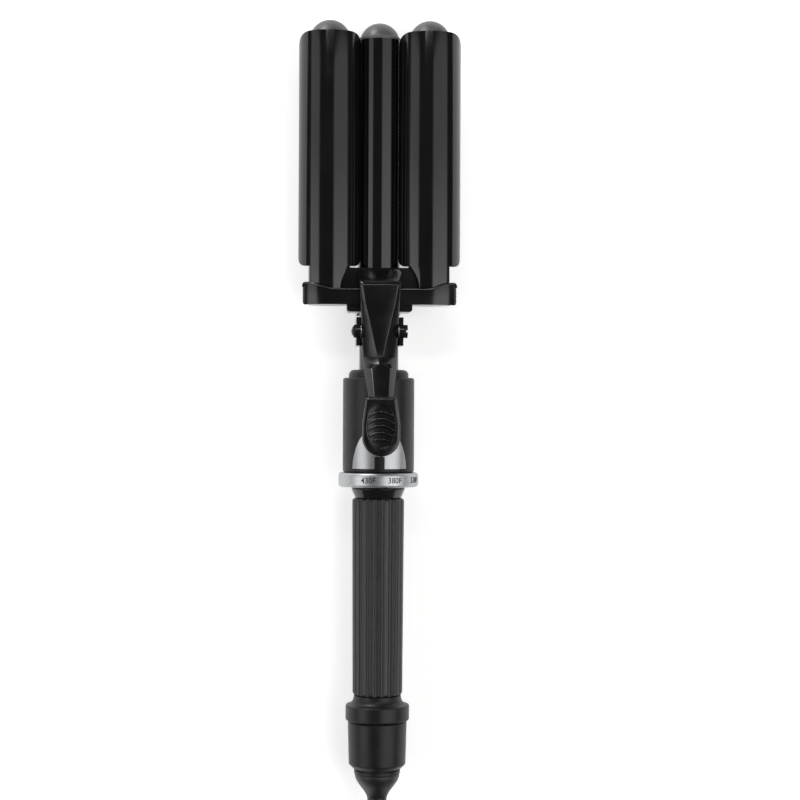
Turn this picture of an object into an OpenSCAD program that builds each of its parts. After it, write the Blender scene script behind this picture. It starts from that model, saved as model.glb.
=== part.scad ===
// Three-barrel hair waver with a sprung thumb clamp, a dial ring on the handle and a swivel cord.
// The pieces are drawn upright: z runs along the tool towards the barrel tips, z = 0 is the dial's
// upper face, x is sideways and -y is the front, where the thumb lever is. laid() puts the tool on
// its back: +Y to the tips, +Z to the lever, the origin on the surface under the tool's middle.

/* [Barrels] */
// Length of the heated barrels, from the yoke to the tips
barrel_len = 115.5; // [100:0.5:150]
// Diameter of the two outer barrels
outer_d = 20.8; // [20:0.1:22]
// Diameter of the centre barrel
center_d = 20.8; // [17:0.1:21]
// Distance from the centre barrel's axis to an outer barrel's axis, sideways
barrel_pitch = 24.9; // [24:0.1:27]
// How far the centre barrel sits behind the outer ones
center_back = 4.2; // [3.5:0.1:5]
// Wall of the barrel tubes
barrel_wall = 1.2; // [0.8:0.1:2]
// Height of the outer tips' domes
outer_dome_h = 6.8; // [5:0.1:9]
// Height of the centre tip's dome
center_dome_h = 7.25; // [5:0.1:9]
// Straight skirt below each dome
tip_skirt = 1.65; // [1:0.05:3]
// How much narrower the domes are than their skirts
tip_step = 0.7; // [0.3:0.1:1.5]

/* [Yoke] */
// Height of the yoke that carries the barrels
yoke_h = 18.3; // [6:0.1:20]
// Height of the base block under the yoke
base_h = 3.6; // [3:0.1:6]
// Half the width of the base block
base_half = 16.2; // [14:0.1:18]
// Length of the spigots inside the barrels
spigot_len = 6; // [4:0.5:10]

/* [Clamp] */
// Outer radius of the curved clamp plates
plate_r = 16.3; // [15:0.1:18]
// Thickness of the clamp plates
plate_t = 1; // [0.8:0.1:1.4]
// Gap between a plate and its barrel along the front
plate_gap = 0.85; // [0.2:0.05:1]
// Half the angle that a plate wraps
plate_wrap = 72; // [60:1:74]
// How far the plates reach past the barrels' upper ends
plate_over = 1.5; // [-4:0.1:2]
// Distance from the yoke to the plates' lower edge
plate_rise = 0.7; // [0.5:0.1:12]
// Half the width of the narrower neck below each plate
neck_half = 9.6; // [7:0.1:10]
// Radius of the round cut on the inner side of the necks
neck_cut_r = 19.7; // [17:0.1:21]
// Thickness of the cross bracket
bracket_t = 1.7; // [1.2:0.1:2.4]
// Height of the cross bracket in the middle
bracket_h = 7.9; // [6:0.1:9]
// How much taller the bracket is at its ends
bracket_rise = 3.3; // [1:0.1:5]
// Angle that the bracket's ends wrap round the plates
bracket_wrap = 47; // [30:1:55]

/* [Lever] */
// Distance of the lever's flat front from the tool's axis
lever_front = 19; // [18:0.1:21]
// Wall of the lever
lever_wall = 1.2; // [0.8:0.1:1.6]
// Half the width of the lever's head
head_half = 10.1; // [9:0.1:11]
// Half the width across the flared top of the head
flare_half = 12.1; // [10:0.1:12.5]
// Half the width of the lever's lower end
lever_end_half = 6; // [5:0.1:7]
// Half the width of the thumb pad
pad_half = 9.1; // [8:0.1:11]
// Length of the thumb pad
pad_len = 28.5; // [24:0.5:34]
// Thickness of the thumb pad
pad_t = 5.6; // [4.5:0.1:7]
// Distance of the pad's face from the tool's axis
pad_front = 37.6; // [36:0.1:40]
// Ridges on the thumb pad
ridge_count = 5; // [3:1:6]
// Spacing of the ridges
ridge_pitch = 3.3; // [2.6:0.1:3.6]

/* [Pivot] */
// Distance of the pivot's axis in front of the tool's axis
pivot_front = 13.8; // [13.4:0.1:14.4]
// Height of the pivot's axis above the housing cap
pivot_rise = 18.75; // [17:0.25:20]
// Radius of the pivot screw's shank
pivot_r = 2; // [1.6:0.1:2.4]
// Half the width of the pivot bracket
ear_half = 11.6; // [11.4:0.1:13]
// Half the height of the pivot bracket
ear_h = 7; // [6:0.1:8]
// Radial play of a running fit
run_gap = 0.05; // [0.02:0.01:0.08]
// Wire radius of the clamp spring
spring_wire_r = 0.6; // [0.5:0.05:0.7]
// Mean radius of the clamp spring's curls
spring_r = 2.9; // [2.8:0.05:3.2]
// Whole curls of the clamp spring
spring_turns = 4; // [4:1:6]

/* [Housing] */
// Diameter of the control housing
housing_d = 35.6; // [33:0.1:37]
// Length of the control housing
housing_len = 46.95; // [42:0.1:52]
// Wall of the control housing
housing_wall = 2; // [1.5:0.1:3]
// Diameter of the cap above the housing
cap_d = 29.8; // [27:0.1:32]
// Height of the cap
cap_h = 4; // [3:0.1:6]
// Diameter of the neck post
post_d = 19.5; // [18:0.1:20.5]
// Visible length of the neck post, from the cap to the base block
neck_len = 28.6; // [28:0.1:34]
// Half the width of the silver plate at its foot
silver_half = 13.2; // [11:0.1:15]
// Height of the silver plate
silver_h = 21.5; // [16:0.5:26]
// Half the width of the index rib
rib_half = 2.45; // [1.5:0.05:3]

/* [Dial] */
// Diameter of the dial ring
dial_d = 39.8; // [38:0.1:42]
// Height of the dial ring
dial_h = 7; // [6:0.1:9]
// How far the ring's rounded edges reach down its side
dial_round = 1.8; // [0.6:0.1:2.4]
// How far those edges draw in
dial_draw = 1.1; // [0.4:0.1:1.6]
// Gap above and below the dial ring
dial_gap = 0.25; // [0.15:0.05:0.4]
// Radius of the bearing that the dial turns on
bearing_r = 12; // [11:0.1:13]

/* [Handle] */
// Height of the glossy cone under the dial
cone_h = 5.55; // [5:0.05:9]
// Diameter of the grip at its upper end
grip_d = 25.8; // [24:0.1:29]
// How much slimmer the grip is at its lower end
grip_taper = 1; // [0:0.1:3]
// Length of the grip
grip_len = 98; // [80:1:120]
// Flutes round the grip
flute_count = 20; // [12:1:28]
// Depth of the flutes
flute_depth = 0.7; // [0.3:0.05:1]
// Radius of the tube inside the handle
core_r = 9.5; // [8.5:0.1:10.5]
// Diameter of the band above the tail
collar_d = 31.8; // [29:0.1:34]
// Height of that band
collar_h = 7.8; // [5:0.1:10]
// Height of the flare that leads to it
flare_h = 4.7; // [3:0.1:8]
// Diameter of the tail cap
tail_d = 29.4; // [27:0.1:31]
// Height of the tail cap
tail_h = 23.5; // [20:0.1:28]

/* [Swivel] */
// Diameter of the swivel's bell
bell_d = 23; // [20:0.1:25]
// Height of the bell
bell_h = 15.5; // [12:0.1:18]
// Height of the ring round the bell's upper edge
ring_h = 2; // [1:0.1:3]
// Diameter of the strain relief below the bell
relief_d = 9.6; // [9:0.1:11]
// Length of the strain relief
relief_len = 30.05; // [20:0.05:45]
// Radius of the swivel's shank in the tail cap
shank_r = 6; // [5:0.1:7]

/* [Stand] */
// Radius of the stand's wire
stand_wire_r = 1.3; // [1:0.05:1.6]
// Half the width of the stand at its hinge
stand_half = 10.2; // [10:0.1:11]
// Length of the stand
stand_len = 50; // [40:1:60]

/* [Cord] */
// Diameter of the cord
cord_d = 6.5; // [6:0.1:6.5]

/* [Hidden] */
$fn = 96;
eps = 0.01;
seat = 0.02;  // play between pieces that are fitted together and don't move

// Stations up from the dial's upper face
housing_z0 = dial_gap;
housing_z1 = housing_z0 + housing_len;
cap_z1 = housing_z1 + cap_h;
pivot_z = cap_z1 + pivot_rise;
base_z0 = cap_z1 + neck_len;
yoke_z0 = base_z0 + base_h;
yoke_z1 = yoke_z0 + yoke_h;
seam_z = yoke_z1 + barrel_len;
center_seam_z = seam_z - 1.1;    // the centre tube is a little shorter
top_z = seam_z + tip_skirt + outer_dome_h;
bracket_z0 = yoke_z0 - 0.2;
bracket_z1 = bracket_z0 + bracket_h;
plate_z0 = yoke_z1 + plate_rise;
plate_z1 = seam_z + plate_over;
head_z = bracket_z1 + 2.4;       // the front edge of the lever's head
waist_z = cap_z1 - 1.2;          // where the lever is bent outwards a second time
pad_z1 = housing_z0 + 37.15;
pad_z0 = pad_z1 - pad_len;
lever_z0 = pad_z1 + 1.2;

// Stations down from the dial's upper face
dial_z0 = -dial_h;
cone_z1 = dial_z0 - dial_gap;
grip_z1 = cone_z1 - cone_h;
grip_z0 = grip_z1 - grip_len;
flare_z1 = grip_z0 - 0.2;
collar_z1 = flare_z1 - flare_h;
collar_z0 = collar_z1 - collar_h;
tail_z1 = collar_z0 - 0.4;
tail_z0 = tail_z1 - tail_h;
bell_z1 = tail_z0 - 0.4;
bell_z0 = bell_z1 - bell_h;
bottom_z = bell_z0 - relief_len;

// Where the tool lies in its own frame
mid_z = (top_z + bottom_z) / 2;
axis_up = dial_d / 2;

outer_r = outer_d / 2;
center_r = center_d / 2;
plate_back = plate_r - plate_t - outer_r - plate_gap;  // plates' axis behind the barrels' axis
bar_back = plate_back - plate_r - seat;                // y of the cross bracket's back face
bar_front = bar_back - bracket_t;
housing_r = housing_d / 2;
post_r = post_d / 2;

module laid() translate([0, -mid_z, axis_up]) rotate([-90, 0, 0]) children();
module both() { children(); mirror([1, 0, 0]) children(); }
module ring(ro, ri, z0, z1) translate([0, 0, z0]) difference() {
    cylinder(r = ro, h = z1 - z0);
    translate([0, 0, -1]) cylinder(r = ri, h = z1 - z0 + 2);
}
module rod(r, z0, z1) translate([0, 0, z0]) cylinder(r = r, h = z1 - z0);
// A block given by its lowest and highest corners
module block(lo, hi) translate(lo) cube(hi - lo);
// An outline in x and z, given depth from y0 to y1
module front_cut(y0, y1) translate([0, y1, 0]) rotate([90, 0, 0]) linear_extrude(y1 - y0) children();
// An outline in y and z, given width from x0 to x1
module side_cut(x0, x1) translate([x0, 0, 0]) rotate([90, 0, 90]) linear_extrude(x1 - x0) children();
// A cylinder along x
module cross_rod(r, x0, x1, y, z) translate([x0, y, z]) rotate([0, 90, 0]) cylinder(r = r, h = x1 - x0);
function arc(cx, cy, rx, ry, a0, a1, n = 8) =
    [for (i = [0:n]) let (a = a0 + (a1 - a0) * i / n) [cx + rx * cos(a), cy + ry * sin(a)]];
function add(list, i = 0) = i >= len(list) ? 0 : list[i] + add(list, i + 1);
function unit(v) = v / norm(v);
// A smooth step from 0 to 1
function ease(u) = u * u * (3 - 2 * u);

// A tube along a path of points: rings of `sides` points, square to the path, and flat ends
module tube(path, r, sides, up) {
    last = len(path) - 1;
    rings = [for (i = [0:last])
        let (
            t = unit(path[min(i + 1, last)] - path[max(i - 1, 0)]),
            n = unit(cross(up, t)),
            b = cross(t, n))
        for (k = [0:sides - 1]) let (a = 360 * (k + 0.5) / sides) path[i] + r * (cos(a) * n + sin(a) * b)];
    skin = [for (i = [0:last - 1]) for (k = [0:sides - 1])
        let (p = i * sides + k, q = i * sides + (k + 1) % sides)
        each [[p, p + sides, q], [q, p + sides, q + sides]]];
    ends = [for (k = [1:sides - 2]) each
        [[0, k, k + 1], [last * sides, last * sides + k + 1, last * sides + k]]];
    polyhedron(points = rings, faces = concat(skin, ends), convexity = 10);
}

// ---- Barrels ----
module barrel_tube(r, z1) ring(r, r - barrel_wall, yoke_z1, z1);
// A dome with a rounded skirt below it and a plug that fits the tube
module tip(r, z0, dome_h) {
    dome_r = r - tip_step;
    ball_r = (dome_r * dome_r + dome_h * dome_h) / (2 * dome_h);
    rod(r - barrel_wall - seat, z0 - 5, z0 + eps);
    rotate_extrude() polygon(concat([[0, z0], [r, z0]],
        arc(dome_r, z0 + tip_skirt - tip_step, tip_step, tip_step, 0, 90, 4), [[0, z0 + tip_skirt]]));
    intersection() {
        translate([0, 0, z0 + tip_skirt + dome_h - ball_r]) sphere(r = ball_r);
        rod(r, z0 + tip_skirt - eps, z0 + tip_skirt + dome_h + 1);
    }
}
// An aluminium spreader round a flat ceramic heating plate
module heater(r) {
    spread_r = r - barrel_wall - 0.15;
    z0 = yoke_z1 + spigot_len + 2;
    z1 = seam_z - 7;
    difference() {
        rod(spread_r, z0, z1);
        block([-5.1, -1.3, z0 - 1], [5.1, 1.3, z1 + 1]);
    }
    block([-5, -1.2, z0 + 1], [5, 1.2, z1 - 1]);
}
module at_left() translate([-barrel_pitch, 0, 0]) children();
module at_right() translate([barrel_pitch, 0, 0]) children();
module at_center() translate([0, center_back, 0]) children();
barrel_black = "#17171a";
module left_barrel() color(barrel_black) laid() at_left() barrel_tube(outer_r, seam_z);
module center_barrel() color(barrel_black) laid() at_center() barrel_tube(center_r, center_seam_z);
module right_barrel() color(barrel_black) laid() at_right() barrel_tube(outer_r, seam_z);
module left_tip() color("#5a5b5d") laid() at_left() tip(outer_r, seam_z, outer_dome_h);
module center_tip() color("#5a5b5d") laid() at_center() tip(center_r, center_seam_z, center_dome_h);
module right_tip() color("#5a5b5d") laid() at_right() tip(outer_r, seam_z, outer_dome_h);
module left_heater() color("#c9ccd0") laid() at_left() heater(outer_r);
module center_heater() color("#c9ccd0") laid() at_center() heater(center_r);
module right_heater() color("#c9ccd0") laid() at_right() heater(outer_r);

// ---- Yoke, base block and post ----
wire_hole_r = 3;
module barrel_yoke() color("#1b1b1e") laid() difference() {
    union() {
        for (side = [-1, 1]) translate([side * barrel_pitch, 0, 0]) {
            rod(outer_r, yoke_z0, yoke_z1);
            rod(outer_r - barrel_wall - seat, yoke_z1 - eps, yoke_z1 + spigot_len);
        }
        at_center() rod(center_r, yoke_z0, yoke_z1);
        at_center() rod(center_r - barrel_wall - seat, yoke_z1 - eps, yoke_z1 + spigot_len);
        block([-barrel_pitch, -8, yoke_z0], [barrel_pitch, 8, yoke_z1]);
    }
    for (side = [-1, 1]) translate([side * barrel_pitch, 0, 0]) rod(wire_hole_r, yoke_z0 + 2, yoke_z1 + spigot_len + 1);
    at_center() rod(wire_hole_r, yoke_z0 - 1, yoke_z1 + spigot_len + 1);
    block([-barrel_pitch, -2, yoke_z0 + 2], [barrel_pitch, 2, yoke_z0 + 5]);
    block([-4, -4, yoke_z0 - 1], [4, 4, yoke_z0 + 5]);
}
lug_z0 = base_z0 - 2.6;
stand_y = max(center_back + center_r, outer_r) + stand_wire_r + 0.35;
hinge_z = base_z0 + 0.1;
lug_half = stand_half - stand_wire_r - 0.2;
module yoke_base() color("#1d1d20") laid() difference() {
    union() {
        front_cut(-9, post_r) polygon(concat(
            arc(-base_half + 1.5, base_z0 + 1.5, 1.5, 1.5, 180, 270),
            arc(base_half - 1.5, base_z0 + 1.5, 1.5, 1.5, 270, 360),
            [[base_half, yoke_z0], [-base_half, yoke_z0]]));
        block([-lug_half, post_r - eps, base_z0], [lug_half, axis_up, yoke_z0 - 0.4]);
        block([-lug_half, post_r + 0.6, lug_z0], [lug_half, axis_up, base_z0 + eps]);
        rod(post_r - 1.6 - seat, base_z0 - 5, base_z0 + eps);
    }
    rod(5.6, base_z0 - 6, yoke_z0 + 1);
    cross_rod(stand_wire_r + run_gap, -20, 20, stand_y, hinge_z);
}
post_z0 = housing_z1 - 9;
module neck_post() color("#1d1d20") laid() ring(post_r, post_r - 1.6, post_z0, base_z0);

// ---- Pivot ----
slot_half = ear_half - 2.05;  // half the gap between the ears
module pivot_bracket() color("#1c1c1f") laid() difference() {
    union() {
        block([-ear_half, -pivot_front, pivot_z - ear_h], [ear_half, post_r - 1, pivot_z + ear_h]);
        cross_rod(3.4, -ear_half, ear_half, -pivot_front, pivot_z);
        rod(ear_half, pivot_z - ear_h, pivot_z + ear_h);
    }
    rod(post_r + seat, pivot_z - ear_h - 1, pivot_z + ear_h + 1);
    block([-slot_half, -30, pivot_z - ear_h - 1], [slot_half, -4.5, pivot_z + ear_h + 1]);
    cross_rod(pivot_r + seat, -20, 20, -pivot_front, pivot_z);
}
module pivot_screw() color("#3c3d40") laid() difference() {
    union() {
        cross_rod(pivot_r, -ear_half - 1.5, ear_half + eps, -pivot_front, pivot_z);
        cross_rod(3.25, ear_half, ear_half + 2, -pivot_front, pivot_z);
    }
    block([ear_half + 1.2, -pivot_front - 4, pivot_z - 0.5], [ear_half + 3, -pivot_front + 4, pivot_z + 0.5]);
}
module pivot_nut() color("#3c3d40") laid() translate([-ear_half, -pivot_front, pivot_z]) rotate([0, -90, 0]) difference() {
    union() {
        cylinder(r = 3.25, h = 1.2);
        intersection() {
            translate([0, 0, -1.4]) sphere(r = 3.9);
            cylinder(r = 3.25, h = 2.5);
        }
    }
    translate([0, 0, -1]) cylinder(r = pivot_r + seat, h = 2.6);
}
flange_half = lerp_half(pivot_z);
module pivot_washers() color("#8d8f93") laid() both()
    translate([flange_half + 0.25, -pivot_front, pivot_z]) rotate([0, 90, 0]) difference() {
        cylinder(r = 3.2, h = slot_half - flange_half - 0.3);
        translate([0, 0, -1]) cylinder(r = pivot_r + seat, h = 3);
    }
// The spring's path: a leg up to the first curl, the curls round the screw, and a leg back down
spring_pitch = 1.75;
spring_steps = 8;  // rings in a curl
spring_end = 168;  // where the last part of a curl ends, so that the second leg leans on the post
spring_x0 = -(spring_turns + spring_end / 360) * spring_pitch / 2;
function curl(a) = [
    spring_x0 + spring_pitch * a / 360,
    -pivot_front - spring_r * cos(a),
    pivot_z + spring_r * sin(a)];
spring_last = spring_turns * 360 + spring_end;
spring_path = concat(
    [curl(0) - [0, 0, 7.5]],
    [for (i = [0:spring_turns * spring_steps + 3]) curl(i * 360 / spring_steps)],
    [curl(spring_last), curl(spring_last) + 8.5 * [0, sin(9), -cos(9)]]);
module clamp_spring() color("#9b9da1") laid() tube(spring_path, spring_wire_r, 6, [1, 0, 0]);

// ---- Clamp ----
// The lever's half width at a height: full at the head, slimmer at the pivot and the lower end
function lerp_half(z) = z > waist_z
    ? 7.8 + (head_half - 7.8) * (z - waist_z) / (head_z - waist_z)
    : lever_end_half + (7.8 - lever_end_half) * max(0, z - lever_z0) / (waist_z - lever_z0);
lever_sides = [for (z = [lever_z0 - 3, lever_z0, waist_z, pivot_z, head_z]) [lerp_half(z), z]];
head_sides = [[flare_half, head_z + 5.4], [head_half - 0.8, head_z + 7]];
module lever_front_outline(less) polygon(concat(
    [for (p = concat(lever_sides, head_sides)) [p[0] - less, p[1]]],
    [for (p = concat(lever_sides, head_sides)) [less - p[0], p[1]]]), [concat(
    [for (i = [0:6]) i], [for (i = [13:-1:7]) i])]);
shield_y = -center_r + center_back - 2.6;  // back edge of the shield over the lever's head
lever_side = [
    [-lever_front, head_z], [-lever_front, pivot_z - 8], [-lever_front - 5.6, waist_z],
    [-lever_front - 12.5, lever_z0], [-lever_front - 9.4, lever_z0 - 1.7],
    [-lever_front - 1.6, waist_z - 0.5], [-lever_front + 9, pivot_z - 7.5], [-lever_front + 9.6, pivot_z - 4],
    [-lever_front + 9.6, bracket_z1 + 2], [shield_y, head_z + 5.5], [shield_y - 0.4, head_z + 6.8]];
pad_seat_y = -pad_front + 4.2;  // the tongue's front face, where the pad sits
module thumb_lever() color("#151517") laid() difference() {
    union() {
        difference() {
            intersection() {
                side_cut(-15, 15) polygon(lever_side);
                front_cut(-45, 0) lever_front_outline(0);
            }
            intersection() {
                translate([0, lever_wall, -0.3 * lever_wall]) side_cut(-15, 15) polygon(lever_side);
                front_cut(-45, 0) lever_front_outline(lever_wall);
            }
        }
        block([-7, -lever_front + lever_wall - eps, bracket_z0], [7, bar_front - seat, bracket_z1]);
        side_cut(-4.5, 4.5) polygon([
            [-lever_front - 11.3, lever_z0 + 1.9], [-lever_front - 12.5, lever_z0],
            [pad_seat_y, pad_z1 - 1.4], [pad_seat_y, pad_z0 + 5],
            [pad_seat_y + lever_wall, pad_z0 + 5], [pad_seat_y + lever_wall, pad_z1 - 1.4],
            [-lever_front - 9.4, lever_z0 - 1.7], [-lever_front - 10, lever_z0 + 1.5]]);
    }
    block([-15, bar_front - seat, bracket_z0 - 0.1], [15, 0, bracket_z1 + 0.1]);
    cross_rod(pivot_r + run_gap, -20, 20, -pivot_front, pivot_z);
    for (side = [-1, 1]) translate([side * 4, bar_front - 3, bracket_z0 + bracket_h / 2]) rotate([-90, 0, 0])
        cylinder(r = 1.2 + seat, h = 4);
}
module pad_outline(less) {
    translate([0, pad_z0 + pad_half]) circle(r = pad_half - less);
    polygon([
        [-pad_half + less, pad_z0 + pad_half], [pad_half - less, pad_z0 + pad_half],
        [pad_half - less, pad_z0 + 0.55 * pad_len], [pad_half - 1.9 - less, pad_z1 - less],
        [-pad_half + 1.9 + less, pad_z1 - less], [-pad_half + less, pad_z0 + 0.55 * pad_len]]);
}
insert_half = 0.74 * pad_half;
insert_z0 = pad_z0 + 4;
insert_z1 = pad_z1 - 3.6;
module insert_outline(less) {
    for (z = [insert_z0 + insert_half, insert_z1 - insert_half]) translate([0, z]) circle(r = insert_half - less);
    translate([-insert_half + less, insert_z0 + insert_half])
        square([2 * (insert_half - less), insert_z1 - insert_z0 - 2 * insert_half]);
}
module thumb_pad() color("#1a1a1c") laid() difference() {
    union() {
        front_cut(-pad_front + 1, -pad_front + pad_t) pad_outline(0);
        front_cut(-pad_front, -pad_front + 1 + eps) pad_outline(0.9);
    }
    front_cut(-pad_front - 1, -pad_front + 1.2) insert_outline(0);
    block([-4.5 - seat, pad_seat_y - seat, pad_z0 + 5 - seat], [4.5 + seat, 0, pad_z1 + 1]);
    block([-lever_end_half - 0.3, pad_seat_y + 0.3, pad_z1 - 1.7], [lever_end_half + 0.3, 0, pad_z1 + 1]);
}
module pad_insert() color("#232326") laid() {
    front_cut(-pad_front + 0.7, -pad_front + 1.2) insert_outline(seat);
    intersection() {
        front_cut(-pad_front - 0.1, -pad_front + 0.7 + eps) insert_outline(0.8);
        for (i = [0:ridge_count - 1])
            translate([0, -pad_front - 0.1, insert_z1 - 3.4 - i * ridge_pitch - 10]) rotate([-90, 0, 0])
                ring(10, 8.7, 0, 1);
    }
}
module curved_band(r, t, wrap, z0, z1) intersection() {
    ring(r, r - t, z0, z1);
    translate([0, 0, z0]) linear_extrude(z1 - z0)
        polygon([[0, 0], [-4 * r * sin(wrap), -4 * r * cos(wrap)], [4 * r * sin(wrap), -4 * r * cos(wrap)]]);
}
// The wide plate with rounded corners and the narrow neck below it, seen from the front
module plate_outline() {
    w = plate_r * sin(plate_wrap) + 0.1;
    polygon(concat(
        arc(w - 6, plate_z1 - 6, 6, 6, 0, 90), arc(-w + 6, plate_z1 - 6, 6, 6, 90, 180),
        arc(-w + 4, plate_z0 + 4.6, 4, 4.6, 180, 270), arc(w - 4, plate_z0 + 4.6, 4, 4.6, 270, 360)));
    translate([-neck_half, bracket_z0 + 1]) square([2 * neck_half, plate_z0 - bracket_z0 + 1]);
}
module clamp_plate() difference() {
    translate([barrel_pitch, plate_back, 0]) intersection() {
        curved_band(plate_r, plate_t, plate_wrap, bracket_z0, plate_z1 + 1);
        front_cut(-plate_r - 1, plate_r) plate_outline();
    }
    intersection() {
        translate([0, 0, plate_z0 - 12.6]) rotate([90, 0, 0]) cylinder(r = neck_cut_r, h = 40);
        block([-30, -50, 0], [30, 1, plate_z0]);
    }
}
module left_clamp_plate() color("#0e0e10") laid() mirror([1, 0, 0]) clamp_plate();
module right_clamp_plate() color("#0e0e10") laid() clamp_plate();
bracket_end = barrel_pitch + (plate_r + bracket_t) * sin(bracket_wrap);
module cross_bracket() color("#18181a") laid() difference() {
    intersection() {
        union() {
            both() translate([barrel_pitch, plate_back, 0]) intersection() {
                curved_band(plate_r + bracket_t + seat, bracket_t, bracket_wrap, bracket_z0, bracket_z1 + bracket_rise);
                block([0, -40, 0], [40, 0, 300]);
            }
            block([-barrel_pitch, bar_front, bracket_z0], [barrel_pitch, bar_back, bracket_z1 + bracket_rise]);
        }
        front_cut(-40, 0) polygon(concat(
            arc(-bracket_end + 2, bracket_z0 + 2, 2, 2, 180, 270), arc(bracket_end - 2, bracket_z0 + 2, 2, 2, 270, 360),
            arc(bracket_end - 2, bracket_z1 + bracket_rise - 2, 2, 2, 0, 90),
            [[0.62 * bracket_end, bracket_z1], [-0.62 * bracket_end, bracket_z1]],
            arc(-bracket_end + 2, bracket_z1 + bracket_rise - 2, 2, 2, 90, 180)));
    }
    for (side = [-1, 1]) translate([side * 4, bar_front - 1, bracket_z0 + bracket_h / 2]) rotate([-90, 0, 0])
        cylinder(r = 1.2 + seat, h = 4);
}
module clamp_rivets() color("#6d6f73") laid() for (side = [-1, 1])
    translate([side * 4, bar_back, bracket_z0 + bracket_h / 2]) rotate([90, 0, 0]) {
        cylinder(r = 1.2, h = bracket_t + 2.5);
        translate([0, 0, -0.7]) cylinder(r = 2.1, h = 0.7);
    }

// ---- Stand: a bent wire that folds flat behind the centre barrel ----
stand_top = hinge_z + stand_len;
stand_slim = stand_half - 2.6;
// Half of the wire's path in x and z, from the hole in the lug to the middle of the far end
stand_path = [
    [2.4, hinge_z], [stand_half, hinge_z], [stand_half, hinge_z + 19], [stand_slim, hinge_z + 28],
    [stand_slim, stand_top - 4], [stand_slim - 4, stand_top]];
module stand() color("#b9bcc0") laid() translate([0, stand_y, 0]) {
    for (side = [-1, 1]) for (i = [0:len(stand_path) - 2]) {
        a = stand_path[i];
        b = stand_path[i + 1];
        translate([side * a[0], 0, a[1]]) rotate([0, side * atan2(b[0] - a[0], b[1] - a[1]), 0])
            cylinder(r = stand_wire_r, h = norm(b - a));
        translate([side * b[0], 0, b[1]]) sphere(r = stand_wire_r + 0.03);
    }
    cross_rod(stand_wire_r, 4 - stand_slim, stand_slim - 4, 0, stand_top);
}

// ---- Housing ----
module housing_cap() color("#19191b") laid() difference() {
    union() {
        rotate_extrude() polygon(concat(
            [[0, housing_z1], [cap_d / 2, housing_z1]],
            arc(cap_d / 2 - 2.6, cap_z1 - 2.6, 2.6, 2.6, 0, 90),
            [[0, cap_z1]]));
        rod(housing_r - 5.5 - seat, housing_z1 - 6, housing_z1 + eps);
    }
    rod(post_r + seat, housing_z1 - 7, cap_z1 + 1);
}
module silver_outline(less) polygon(concat(
    [[-silver_half + less, housing_z0 + 2]], [[silver_half - less, housing_z0 + 2]],
    arc(0, housing_z0 + 2, silver_half - less, silver_h - less, 4, 176, 24)));
lamp_z = housing_z0 + 10;
switch_z = housing_z0 + 25;
wiper_at = 130;   // where the wiper stands at rest, from +x towards the back
wiper_up = 17.5;  // its travel to the warmest mark
wiper_off = 140.5;  // its travel back to the off mark
module arc_slot(r0, r1, z0, z1, a0, a1) translate([0, 0, z0])
    rotate([0, 0, a0]) rotate_extrude(angle = a1 - a0) translate([r0, 0]) square([r1 - r0, z1 - z0]);
module control_housing() color("#202022") laid() {
    difference() {
        union() {
            rotate_extrude() polygon(concat(
                [[0, housing_z0]], arc(housing_r - 1, housing_z0 + 1, 1, 1, 270, 360),
                arc(housing_r - 1.2, housing_z1 - 1.2, 1.2, 1.2, 0, 90), [[0, housing_z1]]));
            rod(bearing_r, cone_z1, housing_z0 + eps);
        }
        rod(housing_r - housing_wall, housing_z0 + 2.5, housing_z1 - 2);
        rod(housing_r - 5.5, housing_z1 - 3, housing_z1 + 1);
        rod(core_r + seat, cone_z1 - 1, housing_z0 + 3);
        intersection() {
            ring(housing_r + 1, housing_r - 0.4, housing_z0 + 1, housing_z1);
            front_cut(-30, 0) silver_outline(0);
        }
        arc_slot(13, 14.6, housing_z0 - 1, housing_z0 + 3, wiper_at - wiper_off - 4, wiper_at + wiper_up + 4);
        block([-5.5 - seat, 10, switch_z - 8.5 - seat], [5.5 + seat, 25, switch_z + 8.5 + seat]);
        translate([0, 10, lamp_z]) rotate([-90, 0, 0]) cylinder(r = 2.2 + seat, h = 12);
    }
    intersection() {
        ring(housing_r + 0.5, housing_r - 0.5, housing_z0 + 0.75, housing_z0 + 8);
        block([-rib_half, -25, 0], [rib_half, 0, 20]);
    }
}
module silver_plate() color("#d4d6d8") laid() difference() {
    intersection() {
        ring(housing_r + 0.1, housing_r - 0.4 + seat, housing_z0 + 1, housing_z1);
        front_cut(-30, 0) silver_outline(seat);
    }
    block([-rib_half - seat, -25, 0], [rib_half + seat, 0, housing_z0 + 8 + seat]);
}
rocker_y = 15.2;
module switch_frame() color("#121213") laid() difference() {
    block([-5.5, 10.5, switch_z - 8.5], [5.5, 18.4, switch_z + 8.5]);
    block([-3.9, 11.7, switch_z - 6.9], [3.9, 20, switch_z + 6.9]);
    cross_rod(1 + run_gap, -4.9, 4.9, rocker_y, switch_z);
}
module power_rocker() color("#2a2a2c") laid() translate([0, rocker_y, switch_z]) rotate([6, 0, 0]) {
    side_cut(-3.7, 3.7) polygon([[-2, -6.2], [3.2, -6.2], [2.5, 0], [3.2, 6.2], [-2, 6.2]]);
    cross_rod(1, -4.8, 4.8, 0, 0);
}
module indicator_lamp() color("#a33a2c") laid() translate([0, 13.5, lamp_z]) rotate([-90, 0, 0]) {
    cylinder(r = 2.2, h = housing_r - 13.5);
    translate([0, 0, housing_r - 13.5 - 1.2]) intersection() {
        sphere(r = 2.5);
        cylinder(r = 2.2, h = 3);
    }
}
board_y = 4;
board_z0 = housing_z0 + 0.19 * housing_len;
board_z1 = housing_z0 + 0.77 * housing_len;
board_half = sqrt(pow(housing_r - housing_wall, 2) - pow(board_y + 1.6, 2)) - 0.3;
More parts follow.
